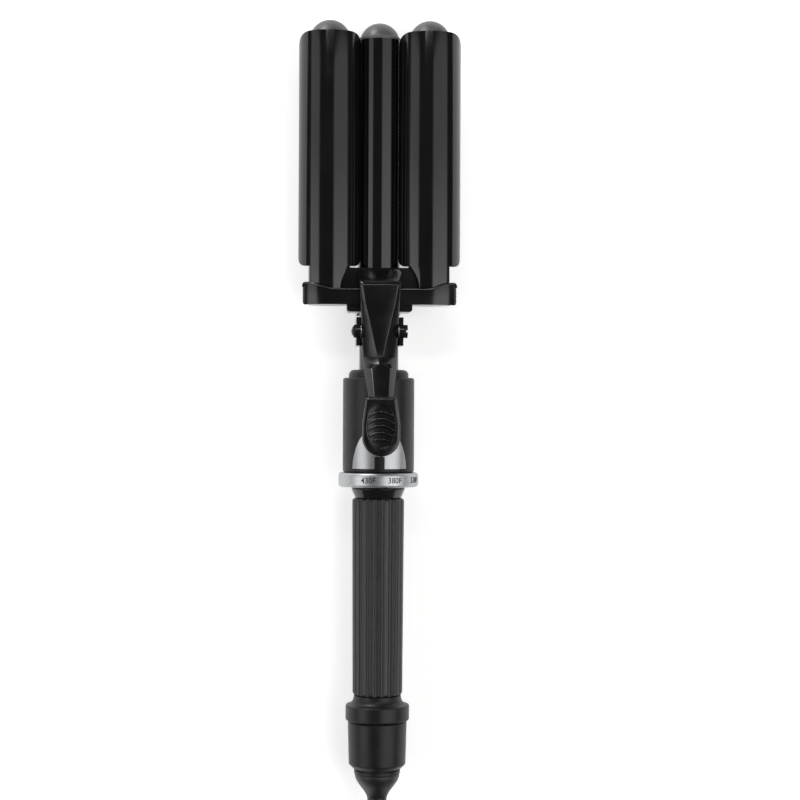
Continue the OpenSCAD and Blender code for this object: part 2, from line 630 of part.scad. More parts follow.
module control_board() color("#2f6b45") laid() {
    block([-board_half, board_y, board_z0], [board_half, board_y + 1.6, board_z1]);
    block([-9, board_y - 5, board_z1 - 10], [-3, board_y, board_z1 - 1]);
    block([4, board_y - 4, board_z0 + 7], [10, board_y, board_z0 + 15]);
    translate([5, board_y, board_z1 - 7]) rotate([90, 0, 0]) cylinder(r = 2.5, h = 6);
    block([-5, board_y - 5.6, board_z1 - 3], [5, board_y + eps, board_z1]);
}
// The rheostat is a ring of track over the housing's floor; the dial's wiper slides under it
module rheostat() color("#c7a24a") laid() ring(housing_r - housing_wall - seat, core_r + 1, housing_z0 + 4.6, housing_z0 + 6.2);

// ---- Dial ----
dial_r = dial_d / 2;
module dial_ring() color("#b4b6b9") laid() difference() {
    rotate_extrude() polygon(concat(
        [[0, dial_z0]], arc(dial_r - dial_draw, dial_z0 + dial_round, dial_draw, dial_round, 270, 360, 6),
        arc(dial_r - dial_draw, -dial_round, dial_draw, dial_round, 0, 90, 6), [[0, 0]]));
    rod(bearing_r + run_gap, dial_z0 - 1, 1);
    ring(dial_r - 2.6, 15.2, dial_z0 + 1.6, 1);
}
module dial_wiper() color("#c9a04c") laid()
    arc_slot(13.15, 14.45, 0, housing_z0 + 4.5, wiper_at - 3.2, wiper_at + 3.2);

// ---- Handle ----
module neck_cone() color("#131315") laid() difference() {
    rotate_extrude() polygon(concat(
        [[0, grip_z1 + seat], [grip_d / 2 - 1.5, grip_z1 + seat], [bearing_r + 1.05, grip_z1 + 0.68 * cone_h]],
        arc(bearing_r + 0.4, cone_z1 - 1, 1, 1, 0, 90, 4), [[0, cone_z1]]));
    rod(core_r + seat, grip_z1 - 1, cone_z1 + 1);
}
module handle_core() color("#3a3a3d") laid() ring(core_r, core_r - 1.5, tail_z1 + 2, housing_z0 + 3);
module grip_sleeve() color("#39393b") laid() difference() {
    rotate_extrude() polygon(concat(
        arc(grip_d / 2 - grip_taper / 2 - 1.5, grip_z0 + 1.5, 1.5, 1.5, 270, 360, 5),
        arc(grip_d / 2 - 1.5, grip_z1 - 1.5, 1.5, 1.5, 0, 90, 5),
        [[core_r + seat, grip_z1], [core_r + seat, grip_z0]]));
    lean = atan(grip_taper / 2 / grip_len);
    for (i = [0:flute_count - 1]) rotate([0, 0, (i + 0.5) * 360 / flute_count])
        translate([grip_d / 2 - grip_taper / 2 + 1.35 - flute_depth, 0, grip_z0 - 1]) rotate([0, lean, 0])
            cylinder(r = 1.35, h = grip_len + 2, $fn = 24);
}
tail_r = tail_d / 2;
module tail_collar() color("#19191b") laid() difference() {
    rotate_extrude() polygon(concat(
        [[0, flare_z1], [grip_d / 2 - 1.4, flare_z1]],
        arc(grip_d / 2 + 1.9, flare_z1 - 0.2, 3, flare_h - 0.3, 180, 265, 6),
        arc(collar_d / 2 - 0.8, collar_z1 - 0.8, 0.8, 0.8, 90, 0, 4),
        arc(collar_d / 2 - 0.8, collar_z0 + 0.8, 0.8, 0.8, 0, -90, 4),
        [[0, collar_z0]]));
    rod(core_r + seat, collar_z0 - 1, flare_z1 + 1);
    ring(12.4, 10.9, collar_z0 - 1, collar_z0 + 3.6);
}
module tail_cap() color("#17171a") laid() difference() {
    union() {
        rotate_extrude() polygon(concat(
            [[0, tail_z1], [tail_r - 0.4, tail_z1], [tail_r, tail_z1 - 0.6]],
            arc(tail_r - 1.7, tail_z0 + 2.6, 1.2, 1.2, 0, -45, 4),
            [[tail_r - 2.6, tail_z0], [0, tail_z0]]));
        ring(12.4 - seat, 10.9 + seat, tail_z1 - eps, tail_z1 + 3.4);
    }
    rod(10.9 + seat, tail_z0 + 3, tail_z1 + 1);
    rod(shank_r + run_gap, tail_z0 - 1, tail_z0 + 4);
}
flange_z1 = tail_z0 + 5.2;
module contact_block() color("#b08a45") laid() difference() {
    rod(10.9, flange_z1 + 0.3, collar_z0 - 0.1);
    rod(2, flange_z1 - 1, collar_z0 + 1);
}

// ---- Swivel with its strain relief ----
relief_r = relief_d / 2;
bell_r = bell_d / 2 - 0.35;
bell_seat_r = bell_d / 2 - 1.2;  // the ring sits round this
bell_steps = 16;  // points down the bell's S curve
module cord_swivel() color("#1f1f21") laid() {
    rotate_extrude() polygon(concat(
        [[0, bottom_z], [relief_r - 0.7, bottom_z]],
        [for (i = [bell_steps:-1:0]) let (u = i / bell_steps)
            [bell_r - (bell_r - relief_r) * ease(u), bell_z1 - ring_h - 0.9 - (bell_h - ring_h - 0.9) * u]],
        [[bell_r - 0.2, bell_z1 - ring_h - 0.5], [bell_seat_r, bell_z1 - ring_h - 0.5], [bell_seat_r, bell_z1]],
        [[shank_r, bell_z1], [shank_r, tail_z0 + 3.2], [9, tail_z0 + 3.2], [9, flange_z1], [0, flange_z1]]));
    for (i = [1:5]) rod(relief_r + 0.35, bottom_z + i * relief_len / 7 - 1, bottom_z + i * relief_len / 7 + 1);
}
module swivel_ring() color("#26262a") laid() rotate_extrude() polygon(concat(
    [[bell_seat_r + seat, bell_z1 - 0.4 - ring_h]],
    arc(bell_d / 2 - 0.4, bell_z1 - ring_h, 0.4, 0.4, 270, 360, 5),
    arc(bell_d / 2 - 0.3, bell_z1 - 0.7, 0.3, 0.3, 0, 90, 4), [[bell_seat_r + seat, bell_z1 - 0.4]]));

// ---- Wires ----
module supply_wires() color("#7d2f2a") laid() both()
    translate([3, board_y + 0.8, 0]) rod(0.9, collar_z0 - 0.1 + seat, board_z0 - seat);
module heater_wires() color("#b8b2a6") laid() {
    both() {
        translate([3, 0, 0]) rod(0.9, board_z1 + seat, yoke_z0 + 3.5);
        cross_rod(0.9, 3, barrel_pitch, 0, yoke_z0 + 3.5);
        translate([barrel_pitch, 0, 0]) rod(0.9, yoke_z0 + 3.5, yoke_z1 + spigot_len + 2 - seat);
        for (x = [3, barrel_pitch]) translate([x, 0, yoke_z0 + 3.5]) sphere(r = 0.9, $fn = 32);
    }
    translate([0, center_back, 0]) rod(0.9, board_z1 + seat, yoke_z1 + spigot_len + 2 - seat);
}

// ---- Cord, as it lies: down from the strain relief, into a tied coil, and out to the plug ----
cord_r = cord_d / 2;
cord_route = [
    [0, -209.5, 19.9], [0, -216, 19.9], [-0.2, -222, 19.8], [-1, -230, 19.1], [-3, -239, 17.7],
    [-5.8, -248, 15.7], [-9.2, -257, 13.3], [-12.6, -266, 10.8], [-15.8, -275, 8.5], [-18.6, -284, 6.5],
    [-20.6, -293, 5], [-21.7, -301, 4.2], [-22, -309, 4], [-22, -318, 4], [-22, -326.5, 4]];
coil_mid = [22.4, -333];
coil_out = 44.4;  // radius of the outermost turn
coil_in = 26;     // radius of the innermost turn
coil_z = 4;       // height of the lowest layer's axis
layer_up = 7;     // from one layer to the next
coil_turns = 10.5;
layer_turns = coil_turns / 4;
turn_steps = 24;
end_route = [
    [66.8, -326.5, 25], [66.8, -320, 25], [66.6, -314, 24.7], [65.7, -306, 23.5], [63.9, -297, 21],
    [61.6, -288, 17.9], [59.2, -279, 14.8], [57, -270, 12], [55.6, -262, 10.2], [55, -256, 9.6],
    [54.8, -250, 9.5]];
function coil_radius(t) =
    let (u = t / layer_turns, k = floor(u), f = u - k)
    k % 2 == 0 ? coil_out - (coil_out - coil_in) * f : coil_in + (coil_out - coil_in) * f;
function coil_height(t) = coil_z + layer_up * add([for (k = [1:3])
    ease(min(1, max(0, (t - k * layer_turns + 0.25) / 0.5)))]);
function coil_point(t) = [
    coil_mid[0] + coil_radius(t) * cos(180 + 360 * t),
    coil_mid[1] + coil_radius(t) * sin(180 + 360 * t),
    coil_height(t)];
coil_steps = coil_turns * turn_steps;
coil_path = concat(
    [cord_route[len(cord_route) - 1]],
    [for (i = [0:coil_steps]) coil_point(i / turn_steps)],
    [end_route[0]]);
coil_gap = min([for (i = [0:len(coil_path) - 1 - turn_steps / 2]) min([
    for (j = [i + turn_steps / 2:len(coil_path) - 1]) norm(coil_path[i] - coil_path[j])])]) - cord_d;
spring_gap = min([for (i = [0:len(spring_path) - 1 - spring_steps / 2]) min([
    for (j = [i + spring_steps / 2:len(spring_path) - 1]) norm(spring_path[i] - spring_path[j])])])
    - 2 * spring_wire_r;
function path_length(p) = add([for (i = [1:len(p) - 1]) norm(p[i] - p[i - 1])]);
echo(str("least gap in the coil ", coil_gap, " mm, in the spring ", spring_gap, " mm"));
echo(str("cord length ", path_length(cord_route) + path_length(coil_path) + path_length(end_route), " mm"));
module cord() color("#141415") tube(cord_route, cord_r, 8, [0, 0, 1]);
module cord_coil() color("#141415") tube(coil_path, cord_r, 6, [0, 0, 1]);
module cord_end() color("#141415") tube(end_route, cord_r, 8, [0, 0, 1]);
tie_t = 0.6;
tie_gap = 0.1;
module cord_tie() color("#2b2b2d") {
    r0 = coil_in - cord_r - tie_gap;
    r1 = coil_out + cord_r + tie_gap;
    z0 = coil_z - cord_r - tie_gap;
    z1 = coil_z + 3 * layer_up + cord_r + tie_gap;
    translate([coil_mid[0], coil_mid[1], 0]) rotate([0, 0, -98]) rotate_extrude(angle = 16) difference() {
        translate([r0 - tie_t, z0 - tie_t]) square([r1 - r0 + 2 * tie_t, z1 - z0 + 2 * tie_t]);
        translate([r0, z0]) square([r1 - r0, z1 - z0]);
    }
}
plug_x = 54.8;
plug_y = -250;
plug_up = 9.5;
module plug_outline(w, l, c) polygon(concat(
    arc(-w + c, c, c, c, 180, 270, 4), arc(w - c, c, c, c, 270, 360, 4),
    arc(w - c, l - c, c, c, 0, 90, 4), arc(-w + c, l - c, c, c, 90, 180, 4)));
module plug_body() color("#161617") translate([plug_x, plug_y, plug_up]) {
    translate([0, 18, 0]) rotate([90, 0, 0]) cylinder(r1 = 5.5, r2 = 4.4, h = 18);
    difference() {
        intersection() {
            translate([0, 14, -9]) linear_extrude(18) plug_outline(12.5, 28, 3);
            rotate([90, 0, 0]) translate([0, -9, -44]) linear_extrude(32) plug_outline(12.5, 18, 4);
        }
        translate([-12.5, 28, -20]) cylinder(r = 2.2, h = 40);
        translate([12.5, 28, -20]) cylinder(r = 2.2, h = 40);
    }
}
module plug_blades() color("#c8b47e") translate([plug_x, plug_y + 42, plug_up]) for (side = [-1, 1])
    difference() {
        block([side * 6.35 - 0.75, 0, -3.2], [side * 6.35 + 0.75, 16.5, 3.2]);
        translate([side * 6.35 - 2, 12, 0]) rotate([0, 90, 0]) cylinder(r = 1.5, h = 4);
    }

left_barrel();
center_barrel();
right_barrel();
left_tip();
center_tip();
right_tip();
left_heater();
center_heater();
right_heater();
barrel_yoke();
yoke_base();
neck_post();
pivot_bracket();
pivot_screw();
pivot_nut();
pivot_washers();
clamp_spring();
thumb_lever();
thumb_pad();
pad_insert();
cross_bracket();
left_clamp_plate();
right_clamp_plate();
clamp_rivets();
stand();
housing_cap();
control_housing();
silver_plate();
switch_frame();
power_rocker();
indicator_lamp();
control_board();
rheostat();
dial_ring();
dial_wiper();
neck_cone();
handle_core();
grip_sleeve();
tail_collar();
tail_cap();
contact_block();
cord_swivel();
swivel_ring();
supply_wires();
heater_wires();
cord();
cord_coil();
cord_end();
cord_tie();
plug_body();
plug_blades();
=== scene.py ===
# A three-barrel hair waver that lies on its back on a pale table, seen from straight above.
# +Y runs to the barrel tips and +Z to the thumb lever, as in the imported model.
# The pieces' dictionaries are in millimetres and degrees, the camera's and the lights' in metres and degrees.
import math

import bmesh
import bpy
from mathutils import Matrix, Vector


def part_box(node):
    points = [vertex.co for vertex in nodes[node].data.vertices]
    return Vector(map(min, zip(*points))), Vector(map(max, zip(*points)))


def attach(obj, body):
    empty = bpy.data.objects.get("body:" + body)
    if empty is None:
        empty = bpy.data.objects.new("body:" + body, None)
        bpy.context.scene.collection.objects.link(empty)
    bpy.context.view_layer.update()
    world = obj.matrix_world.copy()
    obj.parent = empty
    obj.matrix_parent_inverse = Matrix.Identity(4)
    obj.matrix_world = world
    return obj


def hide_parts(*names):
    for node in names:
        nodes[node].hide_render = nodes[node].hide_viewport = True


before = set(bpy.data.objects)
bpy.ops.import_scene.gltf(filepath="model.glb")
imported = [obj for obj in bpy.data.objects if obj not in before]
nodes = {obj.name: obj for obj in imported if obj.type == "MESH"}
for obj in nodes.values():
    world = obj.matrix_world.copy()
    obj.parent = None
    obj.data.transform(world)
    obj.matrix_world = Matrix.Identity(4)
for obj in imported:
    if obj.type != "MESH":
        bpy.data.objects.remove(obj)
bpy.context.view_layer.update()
mm = 0.001
nearly = 0.01          # millimetres: places closer than this count as one place
weld = 0.002           # millimetres: doubles closer than this are merged
capitalToSize = 1.42   # the text size that gives capitals one unit high
print("stage: packed model loaded,", len(nodes), "nodes")


# small helpers for objects
def deselectAll():
    bpy.ops.object.select_all(action="DESELECT")


def makeActive(piece):
    deselectAll()
    piece.select_set(True)
    bpy.context.view_layer.objects.active = piece


def settle(piece):
    # the piece's place goes into its mesh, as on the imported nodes
    makeActive(piece)
    bpy.ops.object.transform_apply(location=True, rotation=True, scale=True)


def applyModifier(piece, kind, **settings):
    makeActive(piece)
    modifier = piece.modifiers.new(kind.title(), kind)
    for name, value in settings.items():
        setattr(modifier, name, value)
    bpy.ops.object.modifier_apply(modifier=modifier.name)


def roundEdges(piece, width, angle=50):
    # a small rounding on every edge that turns by more than the angle
    applyModifier(piece, "BEVEL", width=width * mm, segments=3, limit_method="ANGLE",
                  angle_limit=math.radians(angle))


def carve(piece, cutter):
    applyModifier(piece, "BOOLEAN", operation="DIFFERENCE", object=cutter, solver="EXACT")
    bpy.data.objects.remove(cutter)


def joinPieces(first, *others):
    makeActive(first)
    for other in others:
        other.select_set(True)
    bpy.ops.object.join()
    return bpy.context.object


def finishPiece(piece, name, material, body, stands=(), smooth=35):
    # place into the mesh, shading, finish, what it rides on and the nodes it stands for
    piece.name = piece.data.name = name
    settle(piece)
    bpy.ops.object.shade_smooth_by_angle(angle=math.radians(smooth))
    piece.data.materials.clear()
    piece.data.materials.append(material)
    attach(piece, body)
    if stands:
        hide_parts(*stands)
    return piece


# starting shapes that several pieces share
def addCube(low, high):
    # a block between two corners
    deselectAll()
    bpy.ops.mesh.primitive_cube_add(size=1)
    cube = bpy.context.object
    cube.scale = [(b - a) * mm for a, b in zip(low, high)]
    cube.location = [(a + b) / 2 * mm for a, b in zip(low, high)]
    settle(cube)
    return cube


def addBlock(low, high, edge):
    # the same with rounded edges
    block = addCube(low, high)
    applyModifier(block, "BEVEL", width=edge * mm, segments=3)
    return block


def addSheet(half, low, high, up):
    # a flat blank across X, between two places along Y
    deselectAll()
    bpy.ops.mesh.primitive_plane_add(size=1)
    sheet = bpy.context.object
    sheet.scale = (2 * half * mm, (high - low) * mm, 1)
    sheet.location = (0, (high + low) / 2 * mm, up * mm)
    settle(sheet)
    return sheet


def addWire(name, route, radius, rings):
    # a round wire through points in metres, made a mesh
    line = bpy.data.curves.new(name, "CURVE")
    line.dimensions, line.use_fill_caps = "3D", True
    line.bevel_depth, line.bevel_resolution = radius * mm, rings
    spline = line.splines.new("POLY")
    spline.points.add(len(route) - 1)
    for point, place in zip(spline.points, route):
        point.co = (*place, 1)
    spline.use_smooth = True
    wire = bpy.data.objects.new(name, line)
    bpy.context.scene.collection.objects.link(wire)
    makeActive(wire)
    bpy.ops.object.convert(target="MESH")
    return bpy.context.object


def addWords(words, high, ink, spacing=1, bolder=0):
    # letters about the origin, as thick as their ink, made a mesh
    deselectAll()
    bpy.ops.object.text_add()
    text = bpy.context.object
    text.data.body = words
    text.data.align_x, text.data.align_y = "CENTER", "CENTER"
    text.data.size = high * capitalToSize * mm
    text.data.space_character = spacing
    text.data.offset = bolder * mm
    text.data.extrude = ink * mm
    bpy.ops.object.convert(target="MESH")
    return text


def inMetres(route):
    return [tuple(v * mm for v in place) for place in route]


# small helpers for edit mode
def startEdit(piece):
    makeActive(piece)
    bpy.ops.object.mode_set(mode="EDIT")


def endEdit():
    bpy.ops.object.mode_set(mode="OBJECT")


def pick(piece, kind, test):
    # selects the vertices, edges or faces whose middle passes the test
    bpy.ops.mesh.select_mode(type={"verts": "VERT", "edges": "EDGE", "faces": "FACE"}[kind])
    bpy.ops.mesh.select_all(action="DESELECT")
    mesh = bmesh.from_edit_mesh(piece.data)
    for item in getattr(mesh, kind):
        corners = [item] if kind == "verts" else item.verts
        if test(sum((v.co for v in corners), Vector()) / len(corners), item):
            item.select_set(True)
    bmesh.update_edit_mesh(piece.data)


def pickAll():
    bpy.ops.mesh.select_all(action="SELECT")


def runsAlong(edge, axis, over):
    # whether an edge goes further than so far along X, Y or Z: 0, 1 or 2
    return abs(edge.verts[0].co[axis] - edge.verts[1].co[axis]) > over * mm


def drawOut(x, y, z):
    # extrudes what is picked
    bpy.ops.mesh.extrude_region_move(TRANSFORM_OT_translate={"value": (x * mm, y * mm, z * mm)})


def cutAcross(place, normal, **settings):
    # cuts the whole mesh with a plane through a place in metres
    pickAll()
    bpy.ops.mesh.bisect(plane_co=place, plane_no=normal, **settings)


def faceOut():
    pickAll()
    bpy.ops.mesh.normals_make_consistent(inside=False)


def turnUp(piece):
    # an open sheet has no outside, so it is turned until its faces look up
    if sum(f.normal.z for f in piece.data.polygons) < 0:
        piece.data.flip_normals()


def ease(share):
    # from 0 to 1 with a gentle start and end
    u = min(1, max(0, share))
    return u * u * (3 - 2 * u)


# small helpers for materials
def toLinear(hexColour):
    channels = [int(hexColour[i:i + 2], 16) / 255 for i in (1, 3, 5)]
    return [c / 12.92 if c <= 0.04045 else ((c + 0.055) / 1.055) ** 2.4 for c in channels] + [1.0]


def addNode(tree, kind, values=None, links=None, **settings):
    # inputs are named, or numbered where two share a name
    node = tree.nodes.new(kind)
    for name, value in settings.items():
        setattr(node, name, value)
    for name, value in (values or {}).items():
        node.inputs[name].default_value = value
    for name, source in (links or {}).items():
        tree.links.new(source, node.inputs[name])
    return node


def startMaterial(name):
    material = bpy.data.materials.new(name)
    material.use_nodes = True
    material.node_tree.nodes.clear()
    return material, material.node_tree


# camera: straight above, a little to the left, with the tool upright in a square picture
camera = {
    "lensMm": 85, "sensorMm": 36, "clip": (0.05, 20),
    "distance": 0.9444,           # half a millimetre to a pixel at the height of the tool's axis
    "lookAt": (0.0107, 0.02005, 0.0199),
    "leanLeft": 2.75,             # degrees off the vertical, towards -X
    "roll": 0.25,
}


def addCamera():
    data = bpy.data.cameras.new("photoCamera")
    data.lens, data.sensor_width, data.sensor_fit = camera["lensMm"], camera["sensorMm"], "HORIZONTAL"
    data.clip_start, data.clip_end = camera["clip"]
    view = bpy.data.objects.new("photoCamera", data)
    bpy.context.scene.collection.objects.link(view)
    lean = Matrix.Rotation(math.radians(-camera["leanLeft"]), 4, "Y")
    roll = Matrix.Rotation(math.radians(camera["roll"]), 4, "Z")
    back = Matrix.Translation((0, 0, camera["distance"]))
    view.matrix_world = Matrix.Translation(camera["lookAt"]) @ lean @ back @ roll
    bpy.context.scene.camera = view


addCamera()
print("stage: camera placed")

# cord: one line from the strain relief through the tied coil to the plug
cord = {
    "radius": 3.25, "rings": 5,
    "exit": (0, -209.5, 19.9),
    "first": [
        (0, -209.5, 19.9), (0, -216, 19.9), (-0.2, -222, 19.8), (-1, -230, 19.1), (-3, -239, 17.7),
        (-5.8, -248, 15.7), (-9.2, -257, 13.3), (-12.6, -266, 10.8), (-15.8, -275, 8.5), (-18.6, -284, 6.5),
        (-20.6, -293, 5), (-21.7, -301, 4.2), (-22, -309, 4), (-22, -318, 4), (-22, -326.5, 4)],
    "last": [
        (66.8, -326.5, 25), (66.8, -320, 25), (66.6, -314, 24.7), (65.7, -306, 23.5), (63.9, -297, 21),
        (61.6, -288, 17.9), (59.2, -279, 14.8), (57, -270, 12), (55.6, -262, 10.2), (55, -256, 9.6),
        (54.8, -250, 9.5)],
    "coilMiddle": (22.4, -333), "coilOut": 44.4, "coilIn": 26, "coilLow": 4, "layerUp": 7,
    "turns": 10.5, "layers": 4, "climb": 0.5,      # climb: the part of a turn that a step up takes
    "stepsInTurn": 48, "stepsBetween": 4,
}


def coilPoint(turn):
    # layers wound inwards and outwards by turns, from the coil's left side
    perLayer = cord["turns"] / cord["layers"]
    layer = math.floor(turn / perLayer)
    part = turn / perLayer - layer
    span = cord["coilOut"] - cord["coilIn"]
    radius = cord["coilOut"] - span * part if layer % 2 == 0 else cord["coilIn"] + span * part
    height = cord["coilLow"]
    for k in range(1, cord["layers"]):
        height += cord["layerUp"] * ease((turn - k * perLayer + cord["climb"] / 2) / cord["climb"])
    angle = math.radians(180 + 360 * turn)
    x, y = cord["coilMiddle"]
    return (x + radius * math.cos(angle), y + radius * math.sin(angle), height)


def easedRun(run, before, after):
    # a smooth line through the points of a free run, with the neighbours it joins
    points = [Vector(p) for p in [before] + run + [after]]
    line = []
    for a, b, c, d in zip(points, points[1:], points[2:], points[3:]):
        for i in range(cord["stepsBetween"]):
            t = i / cord["stepsBetween"]
            line.append(0.5 * (2 * b + (c - a) * t + (2 * a - 5 * b + 4 * c - d) * t * t
                               + (3 * b - a - 3 * c + d) * t * t * t))
    return line + [points[-2]]


def makeCord():
    count = int(cord["turns"] * cord["stepsInTurn"])
    loops = [coilPoint(i / cord["stepsInTurn"]) for i in range(count + 1)]
    outward = Vector(cord["first"][0]) * 2 - Vector(cord["first"][1])
    onward = Vector(cord["last"][-1]) * 2 - Vector(cord["last"][-2])
    route = easedRun(cord["first"], outward, loops[0]) + loops + easedRun(cord["last"], loops[-1], onward)
    piece = addWire("mainsCord", inMetres(route), cord["radius"], cord["rings"])
    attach(piece, "iron")
    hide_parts("cord", "cord_coil", "cord_end")
    return piece


mainsCord = makeCord()
print("stage: cord laid")


# finishes
def makeFinish(name, look):
    # two mottled tones, a roughness that varies with them, and a fine grain in the bump
    material, tree = startMaterial(name)
    place = addNode(tree, "ShaderNodeTexCoord")
    mapped = addNode(tree, "ShaderNodeMapping", values={"Scale": look.get("stretch", (1, 1, 1))},
                     links={"Vector": place.outputs["Object"]})
    details = look.get("details", (4, 2))
    mottle = addNode(tree, "ShaderNodeTexNoise", links={"Vector": mapped.outputs["Vector"]},
                     values={"Scale": 1 / (look["mottleMm"] * mm), "Detail": details[0]})
    grain = addNode(tree, "ShaderNodeTexNoise", links={"Vector": mapped.outputs["Vector"]},
                    values={"Scale": 1 / (look["grainMm"] * mm), "Detail": details[1]})
    low, high = look.get("spread", (0.35, 0.65))
    tone = addNode(tree, "ShaderNodeValToRGB", links={"Fac": mottle.outputs["Fac"]})
    for stop, position, colour in zip(tone.color_ramp.elements, (low, high), look["hexes"]):
        stop.position, stop.color = position, toLinear(colour)
    dull, dullest = look["roughness"]
    gloss = addNode(tree, "ShaderNodeMapRange", links={"Value": mottle.outputs["Fac"]},
                    values={"From Min": low, "From Max": high, "To Min": dull, "To Max": dullest})
    relief = addNode(tree, "ShaderNodeBump", links={"Height": grain.outputs["Fac"]},
                     values={"Strength": look["bump"], "Distance": look["grainHighMm"] * mm})
    shader = addNode(tree, "ShaderNodeBsdfPrincipled", values=look["shader"],
                     links={"Base Color": tone.outputs["Color"], "Roughness": gloss.outputs["Result"],
                            "Normal": relief.outputs["Normal"]})
    addNode(tree, "ShaderNodeOutputMaterial", links={"Surface": shader.outputs["BSDF"]})
    return material


